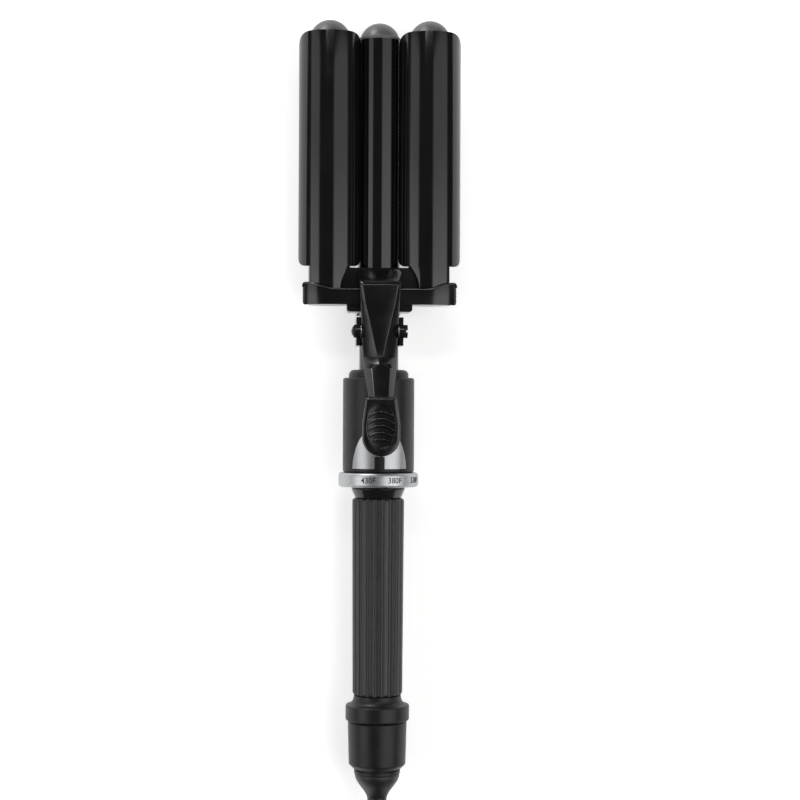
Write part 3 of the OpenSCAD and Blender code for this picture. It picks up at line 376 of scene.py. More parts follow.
looks = {
    # baked ceramic coat on aluminium: sprayed and cured, mirror black with a faint orange peel
    "bakedCeramicCoat": {
        "hexes": ("#0a0a0b", "#0d0d0f"), "roughness": (0.08, 0.13), "mottleMm": 18,
        "grainMm": 1.6, "grainHighMm": 0.02, "bump": 0.06, "shader": {"IOR": 1.5}},
    # stove enamel on pressed steel: a little softer gloss than the barrels
    "stoveEnamel": {
        "hexes": ("#080809", "#0b0b0c"), "roughness": (0.17, 0.22), "mottleMm": 9,
        "grainMm": 0.7, "grainHighMm": 0.02, "bump": 0.12, "shader": {"IOR": 1.5}},
    # glass-filled nylon tips: moulded, satin grey
    "satinNylon": {
        "hexes": ("#4b4c4e", "#555658"), "roughness": (0.36, 0.46), "mottleMm": 3,
        "grainMm": 0.35, "grainHighMm": 0.03, "bump": 0.25, "shader": {"IOR": 1.53}},
    # extruded aluminium: dull, with die lines along the tool
    "extrudedAluminium": {
        "hexes": ("#b9bcc0", "#cfd1d3"), "roughness": (0.32, 0.45), "mottleMm": 4,
        "grainMm": 0.4, "grainHighMm": 0.02, "bump": 0.3, "stretch": (1, 0.06, 1),
        "shader": {"Metallic": 1.0}},
    # bright zinc on wire, washers and rivets: half gloss with a faint cloudy grain
    "zincPlate": {
        "hexes": ("#a6a8ab", "#c2c4c6"), "roughness": (0.22, 0.34), "mottleMm": 2,
        "grainMm": 0.3, "grainHighMm": 0.01, "bump": 0.3, "shader": {"Metallic": 1.0}},
    # black oxide on turned steel screws: dark, oily, half gloss
    "blackOxide": {
        "hexes": ("#17171a", "#26272a"), "roughness": (0.25, 0.38), "mottleMm": 2,
        "grainMm": 0.3, "grainHighMm": 0.01, "bump": 0.3, "shader": {"Metallic": 0.6}},
    # soft-touch lacquer on ABS: fine velvet grain that spreads the light; the IOR is low to keep it dark
    "softTouchLacquer": {
        "hexes": ("#101012", "#151517"), "roughness": (0.36, 0.43), "mottleMm": 6,
        "grainMm": 0.25, "grainHighMm": 0.02, "bump": 0.35,
        "shader": {"IOR": 1.36, "Sheen Weight": 0.02, "Sheen Roughness": 0.5}},
    # polished ABS: moulded, piano black
    "polishedAbs": {
        "hexes": ("#0d0d0e", "#131315"), "roughness": (0.13, 0.22), "mottleMm": 7,
        "grainMm": 0.8, "grainHighMm": 0.01, "bump": 0.15, "shader": {"IOR": 1.54}},
    # moulded thermoplastic rubber on the grip: dark grey with a dry, matte skin
    "gripRubber": {
        "hexes": ("#1b1c1c", "#232424"), "roughness": (0.4, 0.5), "mottleMm": 5,
        "grainMm": 0.3, "grainHighMm": 0.03, "bump": 0.5, "shader": {"IOR": 1.5}},
    # red polycarbonate lens: clear resin, lit from behind on the real tool
    "redPolycarbonate": {
        "hexes": ("#a3241c", "#b52d22"), "roughness": (0.1, 0.16), "mottleMm": 2,
        "grainMm": 0.5, "grainHighMm": 0.01, "bump": 0.1,
        "shader": {"IOR": 1.58, "Transmission Weight": 0.35}},
    # green solder mask on an epoxy glass board: half gloss
    "solderMask": {
        "hexes": ("#1f5a3a", "#2a6d48"), "roughness": (0.25, 0.4), "mottleMm": 4,
        "grainMm": 0.5, "grainHighMm": 0.02, "bump": 0.3, "shader": {"IOR": 1.5}},
    # pressed phenolic ring: brown, dry and dull
    "phenolicBoard": {
        "hexes": ("#6b4a26", "#7d5930"), "roughness": (0.4, 0.55), "mottleMm": 3,
        "grainMm": 0.4, "grainHighMm": 0.02, "bump": 0.3, "shader": {"IOR": 1.5}},
    # rolled brass: warm, with faint tarnish
    "rolledBrass": {
        "hexes": ("#b48c4a", "#cda75e"), "roughness": (0.2, 0.36), "mottleMm": 3,
        "grainMm": 0.3, "grainHighMm": 0.01, "bump": 0.25, "shader": {"Metallic": 1.0}},
    # glass-filled nylon tube inside the handle: moulded, dull dark grey
    "filledNylon": {
        "hexes": ("#303134", "#3b3c3f"), "roughness": (0.45, 0.6), "mottleMm": 5,
        "grainMm": 0.5, "grainHighMm": 0.03, "bump": 0.3, "shader": {"IOR": 1.53}},
    # glass-fibre sleeve on the leads: cream and dry, its fine weave drawn as a coarser grain
    "glassSleeve": {
        "hexes": ("#b8b09c", "#cfc8b6"), "roughness": (0.7, 0.85), "mottleMm": 0.8,
        "grainMm": 0.4, "grainHighMm": 0.1, "bump": 0.6, "shader": {"IOR": 1.5}},
    # plasticised PVC: extruded cord and moulded plug, half gloss
    "flexiblePvc": {
        "hexes": ("#161617", "#1d1d1f"), "roughness": (0.34, 0.46), "mottleMm": 6,
        "grainMm": 0.4, "grainHighMm": 0.02, "bump": 0.25, "shader": {"IOR": 1.52}},
    # black screen-printing ink on the dial: dry and flat
    "printedInk": {
        "hexes": ("#121213", "#1b1b1c"), "roughness": (0.5, 0.6), "mottleMm": 0.8,
        "grainMm": 0.15, "grainHighMm": 0.005, "bump": 0.2, "shader": {"IOR": 1.5}},
    # white paint in the switch marks: dry and flat
    "markPaint": {
        "hexes": ("#d6d6d2", "#e4e4e0"), "roughness": (0.5, 0.6), "mottleMm": 1,
        "grainMm": 0.2, "grainHighMm": 0.005, "bump": 0.2, "shader": {"IOR": 1.5}},
    # satin chrome on a turned ring: hair lines that run round it, so they are short along Y
    "satinRing": {
        "hexes": ("#a4a6a8", "#bbbdbf"), "roughness": (0.34, 0.46), "mottleMm": 0.12, "details": (3, 3),
        "grainMm": 0.12, "grainHighMm": 0.01, "bump": 0.2, "stretch": (0.05, 1, 0.05), "spread": (0.3, 0.7),
        "shader": {"Metallic": 1.0}},
    # brushed silver plate: hair lines that run along the tool
    "brushedSilver": {
        "hexes": ("#9a9b9d", "#afb0b2"), "roughness": (0.34, 0.46), "mottleMm": 0.15, "details": (3, 3),
        "grainMm": 0.15, "grainHighMm": 0.01, "bump": 0.2, "stretch": (1, 0.05, 1), "spread": (0.3, 0.7),
        "shader": {"Metallic": 1.0}},
}
finishes = {name: makeFinish(name, look) for name, look in looks.items()}

# woven nylon tape: threads over and under; its colour is lighter on the loops and darker between them,
# a painted highlight and painted shade that follow the weave's height; the real threads are near 0.35 mm
# apart, and they are drawn coarser so that they show
tape = {
    # the two colours: the darker is painted shade between the threads, the lighter is a painted highlight on
    # the loops
    "threadMm": 0.6909, "waver": 0.4, "hexes": ("#161618", "#34343a"),
    "threadHighMm": 0.12, "bump": 0.6, "shader": {"Roughness": 0.85, "Sheen Weight": 0.3},
}


def makeTape():
    material, tree = startMaterial("wovenTape")
    place = addNode(tree, "ShaderNodeTexCoord")
    scale = math.pi / 10 / (tape["threadMm"] * mm)      # at scale 1 the wave node has a band every pi / 10
    threads = [addNode(tree, "ShaderNodeTexWave", values={"Scale": scale, "Distortion": tape["waver"]},
                       links={"Vector": place.outputs["Object"]}, bands_direction=way) for way in ("X", "Y")]
    weave = addNode(tree, "ShaderNodeMath", operation="MULTIPLY",
                    links={0: threads[0].outputs["Fac"], 1: threads[1].outputs["Fac"]})
    # the weave's height picks the colour: painted shade low between the threads, a painted highlight high on
    # the loops
    tone = addNode(tree, "ShaderNodeValToRGB", links={"Fac": weave.outputs["Value"]})
    for stop, colour in zip(tone.color_ramp.elements, tape["hexes"]):
        stop.color = toLinear(colour)
    relief = addNode(tree, "ShaderNodeBump", links={"Height": weave.outputs["Value"]},
                     values={"Strength": tape["bump"], "Distance": tape["threadHighMm"] * mm})
    shader = addNode(tree, "ShaderNodeBsdfPrincipled", values=tape["shader"],
                     links={"Base Color": tone.outputs["Color"], "Normal": relief.outputs["Normal"]})
    addNode(tree, "ShaderNodeOutputMaterial", links={"Surface": shader.outputs["BSDF"]})
    return material


finishes["wovenTape"] = makeTape()
print("stage:", len(finishes), "finishes mixed")

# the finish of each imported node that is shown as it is
nodeFinishes = {
    "bakedCeramicCoat": ("left_barrel", "center_barrel", "right_barrel"),
    "satinNylon": ("left_tip", "center_tip", "right_tip"),
    "extrudedAluminium": ("left_heater", "center_heater", "right_heater"),
    "stoveEnamel": ("barrel_yoke", "yoke_base", "neck_post", "pivot_bracket"),
    "blackOxide": ("pivot_screw", "pivot_nut"),
    "zincPlate": ("pivot_washers", "clamp_rivets", "stand"),
    "softTouchLacquer": ("control_housing", "housing_cap", "tail_collar", "tail_cap", "swivel_ring"),
    "polishedAbs": ("neck_cone", "switch_frame", "power_rocker"),
    "gripRubber": ("grip_sleeve",),
    "satinRing": ("dial_ring",),
    "brushedSilver": ("silver_plate",),
    "redPolycarbonate": ("indicator_lamp",),
    "solderMask": ("control_board",),
    "phenolicBoard": ("rheostat",),
    "rolledBrass": ("contact_block", "dial_wiper", "plug_blades"),
    "filledNylon": ("handle_core",),
    "glassSleeve": ("supply_wires", "heater_wires"),
    "flexiblePvc": ("cord_swivel", "plug_body"),
}
for finish, members in nodeFinishes.items():
    for member in members:
        mesh = nodes[member].data
        mesh.materials.clear()
        mesh.materials.append(finishes[finish])
mainsCord.data.materials.append(finishes["flexiblePvc"])
print("stage: packed nodes and cord painted")

# thumb lever: pressed steel channel with a long V-shaped flat down its front
lever = {
    # along Y; height of the front; half widths of the whole, of the bevel's inner line and of the flat;
    # how far that line and the outer edge drop below the front; height of the back edge
    "rows": [
        (84.6, 28.9, 9.9, 9.6, 8.7, 0.1, 0.4, 27.9),
        (83.1, 30.6, 11.7, 11.0, 8.7, 0.5, 1.2, 27.9),
        (80.6, 34.2, 10.9, 10.2, 8.8, 0.4, 1.0, 28.6),
        (78.6, 36.9, 10.3, 9.8, 8.8, 0.3, 0.7, 29.3),
        (77.7, 37.9, 10.15, 9.7, 8.7, 0.35, 0.8, 29.3),
        (76.6, 38.5, 10.1, 9.6, 8.6, 0.5, 0.9, 29.3),
        (74.8, 38.75, 10.0, 9.5, 8.3, 0.8, 1.3, 29.3),
        (67.5, 38.8, 9.6, 9.0, 7.3, 1.5, 2.1, 29.3),
        (59.2, 38.85, 9.3, 8.6, 5.3, 2.8, 3.6, 29.3),
        (51.0, 38.9, 9.1, 8.2, 3.5, 3.9, 4.8, 29.3),
        (46.0, 39.1, 8.85, 7.4, 2.4, 4.1, 5.5, 29.7),
        (41.0, 40.2, 8.45, 6.1, 1.2, 3.5, 5.6, 32.2),
        (37.6, 42.1, 8.1, 5.0, 0.6, 2.2, 5.0, 35.6),
        (35.3, 43.6, 7.93, 4.6, 4.2, 0.12, 3.8, 38.2),
        (33.0, 45.0, 7.7, 4.4, 4.0, 0.12, 3.6, 40.5),
        (28.0, 48.1, 6.9, 4.0, 3.6, 0.12, 3.2, 43.8),
        (21.6, 51.9, 5.9, 3.6, 3.2, 0.12, 2.6, 48.0)],
    "wall": 1.0, "edge": 0.3, "crease": 16,
    "tongue": ((-4.5, -2.2, 52.1), (4.5, 21.6, 53.3)), "tongueEdge": 0.25,   # under the thumb pad
    "seat": ((-7, 67.1, 33.9), (7, 74.9, 37.6)), "seatEdge": 0.4,            # riveted to the cross bracket
}


def makeLever():
    # a strip of five faces is drawn out row by row, set to the table, and given its two side walls
    rows = lever["rows"]
    strip, faces, below = 10, 5, 100      # plain sizes, so that each point's row and column can be read off
    deselectAll()
    bpy.ops.mesh.primitive_grid_add(x_subdivisions=faces, y_subdivisions=1, size=strip * mm)
    piece = bpy.context.object
    startEdit(piece)
    pick(piece, "verts", lambda p, v: p.y > 0)
    bpy.ops.mesh.delete(type="VERT")
    pick(piece, "edges", lambda p, e: True)
    for row in rows[1:]:
        drawOut(0, -strip, 0)
    endEdit()
    for v in piece.data.vertices:
        row = rows[round(-v.co.y / (strip * mm) - 0.5)]
        column = round(abs(v.co.x) * faces / (strip * mm) - 0.5)
        along, front, half, inner, flat, dropInner, dropEdge = row[:7]
        side = 1 if v.co.x > 0 else -1
        across, drop = ((flat, 0), (inner, dropInner), (half, dropEdge))[column]
        v.co = (side * across * mm, along * mm, (front - drop) * mm)
    startEdit(piece)
    pick(piece, "edges", lambda p, e: e.is_boundary and runsAlong(e, 1, 0.5))
    drawOut(0, 0, -below)
    for row in rows:
        along, front, dropEdge, back = row[0], row[1], row[6], row[7]
        pick(piece, "verts", lambda p, v: abs(p.y - along * mm) < nearly * mm and p.z < 0)
        bpy.ops.transform.translate(value=(0, 0, (below + back - front + dropEdge) * mm))
    faceOut()
    endEdit()
    roundEdges(piece, lever["edge"], lever["crease"])
    applyModifier(piece, "SOLIDIFY", thickness=lever["wall"] * mm, offset=-1)
    piece = joinPieces(piece, addBlock(*lever["tongue"], lever["tongueEdge"]),
                       addBlock(*lever["seat"], lever["seatEdge"]))
    return finishPiece(piece, "thumbLever", finishes["stoveEnamel"], "clamp",
                       ["thumb_lever"], smooth=40)


makeLever()
print("stage: thumb lever pressed")

# thumb pad: moulded pad with an oval hollow and arched ridges
pad = {
    "middle": 1.85, "half": 9.1, "shoulder": 8.45, "top": 21.25, "topHalf": 7.3, "corner": 1.3,
    "back": 51.9, "front": 57.5, "edge": 0.3,
    "rim": 1.1, "rimSteps": 4, "rimAlong": 0.65,   # the long pad draws in less along than across
    "hollow": {"half": 6.75, "low": -3.3, "high": 17.7, "deep": 1.2},
    "ridges": {"count": 5, "first": 14.2, "pitch": 3.3, "bend": 9.4, "thick": 0.8, "lift": 0.55,
               "endsDown": 2.6, "clear": 0.15},
}


def addPadBlank():
    # half a circle, its sides drawn out to the shoulder and narrower to the top, then raised with a round rim
    deselectAll()
    bpy.ops.mesh.primitive_circle_add(vertices=64, radius=pad["half"] * mm,
                                      location=(0, pad["middle"] * mm, pad["back"] * mm))
    blank = bpy.context.object
    settle(blank)
    startEdit(blank)
    pick(blank, "verts", lambda p, v: p.y > (pad["middle"] + nearly) * mm)
    bpy.ops.mesh.delete(type="VERT")
    pick(blank, "verts", lambda p, v: p.y > (pad["middle"] - nearly) * mm)
    drawOut(0, pad["shoulder"] - pad["middle"], 0)
    drawOut(0, pad["top"] - pad["shoulder"], 0)
    bpy.ops.transform.resize(value=(pad["topHalf"] / pad["half"], 1, 1),
                             center_override=(0, pad["top"] * mm, 0))
    bpy.ops.mesh.edge_face_add()
    pick(blank, "verts", lambda p, v: p.y > (pad["top"] - nearly) * mm)
    bpy.ops.mesh.bevel(offset=pad["corner"] * mm, segments=4, affect="VERTICES")
    pickAll()
    bpy.ops.mesh.edge_face_add()
    drawOut(0, 0, pad["front"] - pad["back"] - pad["rim"])
    middle = (0, 0.5 * (pad["top"] + pad["middle"] - pad["half"]) * mm, 0)
    turns = [math.radians(90 * i / pad["rimSteps"]) for i in range(pad["rimSteps"] + 1)]
    for a, b in zip(turns, turns[1:]):
        before, after = (pad["half"] - pad["rim"] * (1 - math.cos(turn)) for turn in (a, b))
        drawOut(0, 0, pad["rim"] * (math.sin(b) - math.sin(a)))
        shrink = after / before
        shrinkAlong = 1 - (1 - shrink) * pad["rimAlong"]
        bpy.ops.transform.resize(value=(shrink, shrinkAlong, 1), center_override=middle)
    faceOut()
    endEdit()
    return blank


def addHollowCutter():
    hollow = pad["hollow"]
    deselectAll()
    bpy.ops.mesh.primitive_cylinder_add(vertices=96, radius=1, depth=1)
    cutter = bpy.context.object
    cutter.scale = (hollow["half"] * mm, (hollow["high"] - hollow["low"]) / 2 * mm, 2 * hollow["deep"] * mm)
    cutter.location = (0, (hollow["high"] + hollow["low"]) / 2 * mm, pad["front"] * mm)
    settle(cutter)
    return cutter


def addRidge(crest):
    # an arch of round section, cut to the hollow's width where its ends lie
    hollow, ridges = pad["hollow"], pad["ridges"]
    foot = (crest - ridges["bend"]) * mm
    deselectAll()
    bpy.ops.mesh.primitive_torus_add(
        major_radius=ridges["bend"] * mm, minor_radius=ridges["thick"] * mm, major_segments=96,
        minor_segments=12, location=(0, foot, (pad["front"] - hollow["deep"] + ridges["lift"]) * mm))
    arch = bpy.context.object
    settle(arch)
    ends = crest - ridges["endsDown"]
    offMiddle = 2 * (ends - hollow["low"]) / (hollow["high"] - hollow["low"]) - 1
    side = (hollow["half"] * math.sqrt(1 - offMiddle ** 2) - ridges["clear"]) * mm
    startEdit(arch)
    for place, normal in (((side, 0, 0), (1, 0, 0)), ((-side, 0, 0), (-1, 0, 0)), ((0, foot, 0), (0, -1, 0))):
        cutAcross(place, normal, use_fill=True, clear_outer=True)
    endEdit()
    return arch


def makePad():
    piece = addPadBlank()
    carve(piece, addHollowCutter())
    roundEdges(piece, pad["edge"])
    ridges = pad["ridges"]
    arches = [addRidge(ridges["first"] - i * ridges["pitch"]) for i in range(ridges["count"])]
    piece = joinPieces(piece, *arches)
    return finishPiece(piece, "thumbPad", finishes["polishedAbs"], "clamp",
                       ["thumb_pad", "pad_insert"], smooth=40)


makePad()
print("stage: thumb pad moulded")

# clamp plates: flat blanks with oval corners, rolled to the barrels
plate = {
    "side": 24.9, "rollHeight": 15.85, "radius": 16.3, "thick": 1.0,
    "halfArc": 20.48, "low": 86.25, "high": 202.55, "neckHalf": 10.2, "neckLow": 67.15,
    "topCorner": (10.4, 6.0), "lowCorner": (7.7, 4.6), "columns": 48, "edge": 0.24,
    "neckCut": {"radius": 19.7, "along": 73.65, "up": 30, "tall": 80},   # the round cut beside each neck
}


def roundBlankCorners(piece, along, corner):
    # the blank is squeezed across, its corners are rounded, and it is drawn out again, which makes them oval
    squeeze = corner[1] / corner[0]
    pickAll()
    bpy.ops.transform.resize(value=(squeeze, 1, 1), center_override=(0, 0, 0))
    pick(piece, "verts", lambda p, v: abs(p.y - along * mm) < nearly * mm
         and abs(p.x) > (plate["halfArc"] - nearly) * squeeze * mm)
    bpy.ops.mesh.bevel(offset=corner[1] * mm, segments=8, affect="VERTICES")
    pickAll()
    bpy.ops.transform.resize(value=(1 / squeeze, 1, 1), center_override=(0, 0, 0))


def addNeckCutter():
    cut = plate["neckCut"]
    deselectAll()
    bpy.ops.mesh.primitive_cylinder_add(vertices=160, radius=cut["radius"] * mm, depth=cut["tall"] * mm,
                                        location=(0, cut["along"] * mm, cut["up"] * mm))
    cutter = bpy.context.object
    settle(cutter)
    startEdit(cutter)
    cutAcross((0, plate["low"] * mm, 0), (0, 1, 0), use_fill=True, clear_outer=True)
    endEdit()
    return cutter


def makePlate(sign, name, node):
    piece = addSheet(plate["neckHalf"], plate["low"], plate["high"], 0)
    startEdit(piece)
    for way in (1, -1):
        pick(piece, "edges", lambda p, e: p.x * way > (plate["neckHalf"] - nearly) * mm)
        drawOut(way * (plate["halfArc"] - plate["neckHalf"]), 0, 0)
    pick(piece, "edges", lambda p, e: p.y < (plate["low"] + nearly) * mm and abs(p.x) < nearly * mm)
    drawOut(0, plate["neckLow"] - plate["low"], 0)
    roundBlankCorners(piece, plate["high"], plate["topCorner"])
    roundBlankCorners(piece, plate["low"], plate["lowCorner"])
    for i in range(1, plate["columns"]):      # columns, so that the blank can be rolled
        cutAcross(((2 * i / plate["columns"] - 1) * plate["halfArc"] * mm, 0, 0), (1, 0, 0))
    pickAll()
    bpy.ops.mesh.remove_doubles(threshold=weld * mm)
    endEdit()
    r = plate["radius"] * mm
    for v in piece.data.vertices:
        angle = v.co.x / r
        v.co = (sign * plate["side"] * mm + r * math.sin(angle), v.co.y,
                plate["rollHeight"] * mm + r * math.cos(angle))
    startEdit(piece)
    faceOut()
    endEdit()
    turnUp(piece)
    applyModifier(piece, "SOLIDIFY", thickness=plate["thick"] * mm, offset=-1)
    carve(piece, addNeckCutter())
    roundEdges(piece, plate["edge"])
    return finishPiece(piece, name, finishes["bakedCeramicCoat"], "clamp", [node],
                       smooth=30)


makePlate(-1, "leftClampPlate", "left_clamp_plate")
makePlate(1, "rightClampPlate", "right_clamp_plate")
print("stage: clamp plates rolled")

# cross bracket: a pressed bar whose ends wrap round the plates and grow taller
bracket = {
    "front": 33.87, "flatHalf": 22.5, "side": 24.9, "rollHeight": 15.85, "radius": 18.02,
    "wrap": 47, "wrapSteps": 12, "low": 67.05, "high": 74.95, "endHigh": 78.25,
    "fullAt": 0.86,                              # the part of the way out where the end's height is reached
    "thick": 1.7, "corner": 1.9, "edge": 0.5,
    "bead": 0.5, "beadRings": 3, "beadDown": 0.55, "beadUp": 0.05, "beadIn": 0.0008, "upperEdge": 3,
}


def makeBracket():
    height = bracket["high"] - bracket["low"]
    piece = addSheet(bracket["flatHalf"], bracket["low"], bracket["high"], bracket["front"])
    path = [(bracket["side"], bracket["front"])]
    for i in range(1, bracket["wrapSteps"] + 1):
        a = math.radians(bracket["wrap"] * i / bracket["wrapSteps"])
        path.append((bracket["side"] + bracket["radius"] * math.sin(a),
                     bracket["rollHeight"] + bracket["radius"] * math.cos(a)))
    end = path[-1][0]
    startEdit(piece)
    for way in (1, -1):
        last, tall = (bracket["flatHalf"], bracket["front"]), height
        for x, z in path:
            pick(piece, "edges", lambda p, e: runsAlong(e, 1, 1)
                 and abs(p.x - way * last[0] * mm) < nearly * mm)
            drawOut(way * (x - last[0]), 0, z - last[1])
            out = (x - bracket["flatHalf"]) / (bracket["fullAt"] * (end - bracket["flatHalf"]))
            taller = height + (bracket["endHigh"] - bracket["high"]) * ease(out)
            bpy.ops.transform.resize(value=(1, taller / tall, 1), center_override=(0, bracket["low"] * mm, 0))
            last, tall = (x, z), taller
    pick(piece, "verts", lambda p, v: abs(p.x) > (end - nearly) * mm)
    bpy.ops.mesh.bevel(offset=bracket["corner"] * mm, segments=4, affect="VERTICES")
    faceOut()
    endEdit()
    turnUp(piece)
    # the bead pressed along the upper edge and round the end corners
    upperFrom = (bracket["low"] + bracket["upperEdge"]) * mm
    upper = [v.co.copy() for v in piece.data.vertices if v.co.y > upperFrom]
    route = [(p.x * (1 - bracket["beadIn"]), p.y - bracket["beadDown"] * mm, p.z + bracket["beadUp"] * mm)
             for p in sorted(upper, key=lambda p: p.x)]
    bead = addWire("bracketBead", route, bracket["bead"], bracket["beadRings"])
    applyModifier(piece, "SOLIDIFY", thickness=bracket["thick"] * mm, offset=-1)
    roundEdges(piece, bracket["edge"])
    piece = joinPieces(piece, bead)
    return finishPiece(piece, "crossBracket", finishes["stoveEnamel"], "clamp",
                       ["cross_bracket"])


makeBracket()
print("stage: cross bracket bent")

# dial numbers, printed round the ring
dial = {
    "radius": 19.9, "up": 19.9, "along": -19.65, "high": 2.8, "ink": 0.1, "bolder": 0.035,
    "spacing": 1.05, "narrow": 0.92, "slices": 14, "slice": 0.35,   # slices each side of a mark's middle
    "marks": (("430F", -16.5), ("380F", 22.5), ("330F", 61.5), ("280F", 100.5), ("OFF", 139.5)),
}


def makeDialMarks():
    prints = []
    for words, turn in dial["marks"]:
        text = addWords(words, dial["high"], dial["ink"], dial["spacing"], dial["bolder"])
        startEdit(text)
        pickAll()
        bpy.ops.mesh.remove_doubles(threshold=weld * mm)
        bpy.ops.mesh.quads_convert_to_tris()
        for i in range(-dial["slices"], dial["slices"] + 1):      # slices, so that the mark can bend
            cutAcross((i * dial["slice"] * mm, 0, 0), (1, 0, 0))
        endEdit()
        for v in text.data.vertices:
            r = dial["radius"] * mm + v.co.z
            angle = v.co.x * dial["narrow"] / (dial["radius"] * mm) + math.radians(turn)
            v.co = (r * math.sin(angle), dial["along"] * mm + v.co.y, dial["up"] * mm + r * math.cos(angle))
        prints.append(text)
    piece = joinPieces(*prints)
    return finishPiece(piece, "dialMarks", finishes["printedInk"], "dial", smooth=30)


makeDialMarks()
print("stage: dial printed")

# clamp spring: round wire wound on the pivot screw, with a leg to the lever and one to the post
spring = {
    "along": 53.8, "up": 33.7, "radius": 2.9, "wire": 0.6, "rings": 4, "pitch": 1.75,
    "turns": 4, "lastPart": 168, "stepsInTurn": 32,
    "leverLeg": 7.5, "postLeg": 8.5, "postLean": 9, "legSteps": 4,
}


def makeSpring():
    whole = spring["turns"] * 360 + spring["lastPart"]
    start = -whole / 360 * spring["pitch"] / 2
    count = round(whole / 360 * spring["stepsInTurn"])
    curls = []
    for i in range(count + 1):
        turned = whole * i / count
        a = math.radians(turned)
        curls.append((start + spring["pitch"] * turned / 360,
                      spring["along"] + spring["radius"] * math.sin(a),
                      spring["up"] + spring["radius"] * math.cos(a)))
    steps, lean = spring["legSteps"], math.radians(spring["postLean"])
    x, y, z = curls[0]
    first = [(x, y - spring["leverLeg"] * (1 - i / steps), z) for i in range(steps)]
    x, y, z = curls[-1]
    reaches = [spring["postLeg"] * i / steps for i in range(1, steps + 1)]
    last = [(x, y - reach * math.cos(lean), z - reach * math.sin(lean)) for reach in reaches]
    piece = addWire("clampSpring", inMetres(first + curls + last), spring["wire"], spring["rings"])
    return finishPiece(piece, "clampSpring", finishes["zincPlate"], "iron", ["clamp_spring"],
                       smooth=60)


makeSpring()
print("stage: clamp spring wound")

# cord tie: a woven tape round one side of the coil, lapped on its outer face
tie = {
    "middle": 22.4, "near": -354.95, "far": -380.85, "low": 0.66, "high": 28.4, "corner": 3.3,
    "half": 5.5, "thick": 0.55, "slices": 12,
    "bows": {"levels": (7.5, 14.5, 21.5), "reach": 1.3, "deep": 0.25, "face": 0.2},
    "lap": ((16.9, -382.1, 8.5), (27.9, -381.35, 23.5)), "lapEdge": 0.3,
}


def makeTie():
    piece = addCube((tie["middle"] - tie["half"], tie["far"], tie["low"]),
                    (tie["middle"] + tie["half"], tie["near"], tie["high"]))
    startEdit(piece)
    pick(piece, "edges", lambda p, e: runsAlong(e, 0, 1))
    bpy.ops.mesh.bevel(offset=tie["corner"] * mm, segments=8)
    pick(piece, "faces", lambda p, f: abs(p.x - tie["middle"] * mm) > (tie["half"] - nearly) * mm)
    bpy.ops.mesh.delete(type="ONLY_FACE")
    for i in range(1, tie["slices"]):
        level = tie["low"] + (tie["high"] - tie["low"]) * i / tie["slices"]
        cutAcross((0, 0, level * mm), (0, 0, 1))
    # the outer flat bows in a little between the cords
    bows = tie["bows"]
    for level in bows["levels"]:
        pick(piece, "verts", lambda p, v: abs(p.z - level * mm) < bows["reach"] * mm
             and p.y < (tie["far"] + bows["face"]) * mm)
        bpy.ops.transform.translate(value=(0, bows["deep"] * mm, 0))
    endEdit()
    applyModifier(piece, "SOLIDIFY", thickness=tie["thick"] * mm, offset=1)
    piece = joinPieces(piece, addBlock(*tie["lap"], tie["lapEdge"]))
    return finishPiece(piece, "cordTie", finishes["wovenTape"], "iron", ["cord_tie"], smooth=40)


makeTie()
print("stage: cord tied")

# the on and off marks on the rocker, each at its share of the rocker's length from the middle
rocker = {"marks": (("I", 0.27), ("O", -0.27)), "high": 3.0, "ink": 0.05, "rayFrom": 10}


def makeRockerMarks():
    low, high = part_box("power_rocker")
    prints = []
    for words, share in rocker["marks"]:
        text = addWords(words, rocker["high"], rocker["ink"])
        along = (low[1] + high[1]) / 2 + share * (high[1] - low[1])
        below = Vector(((low[0] + high[0]) / 2, along, low[2] - rocker["rayFrom"] * mm))
        place, normal = nodes["power_rocker"].ray_cast(below, Vector((0, 0, 1)))[1:3]
        text.rotation_euler = (math.pi + math.atan2(normal.y, -normal.z), 0, math.pi)
        text.location = place
        settle(text)
        prints.append(text)
    piece = joinPieces(*prints)
    return finishPiece(piece, "rockerMarks", finishes["markPaint"], "switch",
                       smooth=30)


makeRockerMarks()
print("stage: switch marked")

# table and lights
studio = {
    "tableHex": "#f4f4f3", "tableGlow": 0.48, "tableSize": 12, "world": 0.1,
    # azimuths and zeniths are in degrees off the vertical; a tall box fades over its edges' soft part
    "tallBoxes": {
        "leftPanel": {"azimuth": (-34, -76), "far": 1.1, "power": 8, "soft": 0.2},
        "rightPanel": {"azimuth": (9, 68), "far": 1.1, "power": 12, "soft": 0.14}},
    "reach": 0.7, "dim": {"from": 0.55, "to": 0.8, "left": 0.45},
    "smallBoxes": {
        "tipPanel": {"zenith": 74, "azimuth": -28, "far": 1.3, "power": 9, "size": (0.5, 0.5)},
        "headPanel": {"zenith": 34, "azimuth": -4, "far": 1.2, "power": 1.6, "size": (0.5, 0.1)}},
    "aim": (0, 0.1, 0),
}


def addBox(name, size, power):
    data = bpy.data.lights.new(name, "AREA")
    data.shape, data.energy = "RECTANGLE", power
    data.size, data.size_y = size
    lamp = bpy.data.objects.new(name, data)
    bpy.context.scene.collection.objects.link(lamp)
    return lamp


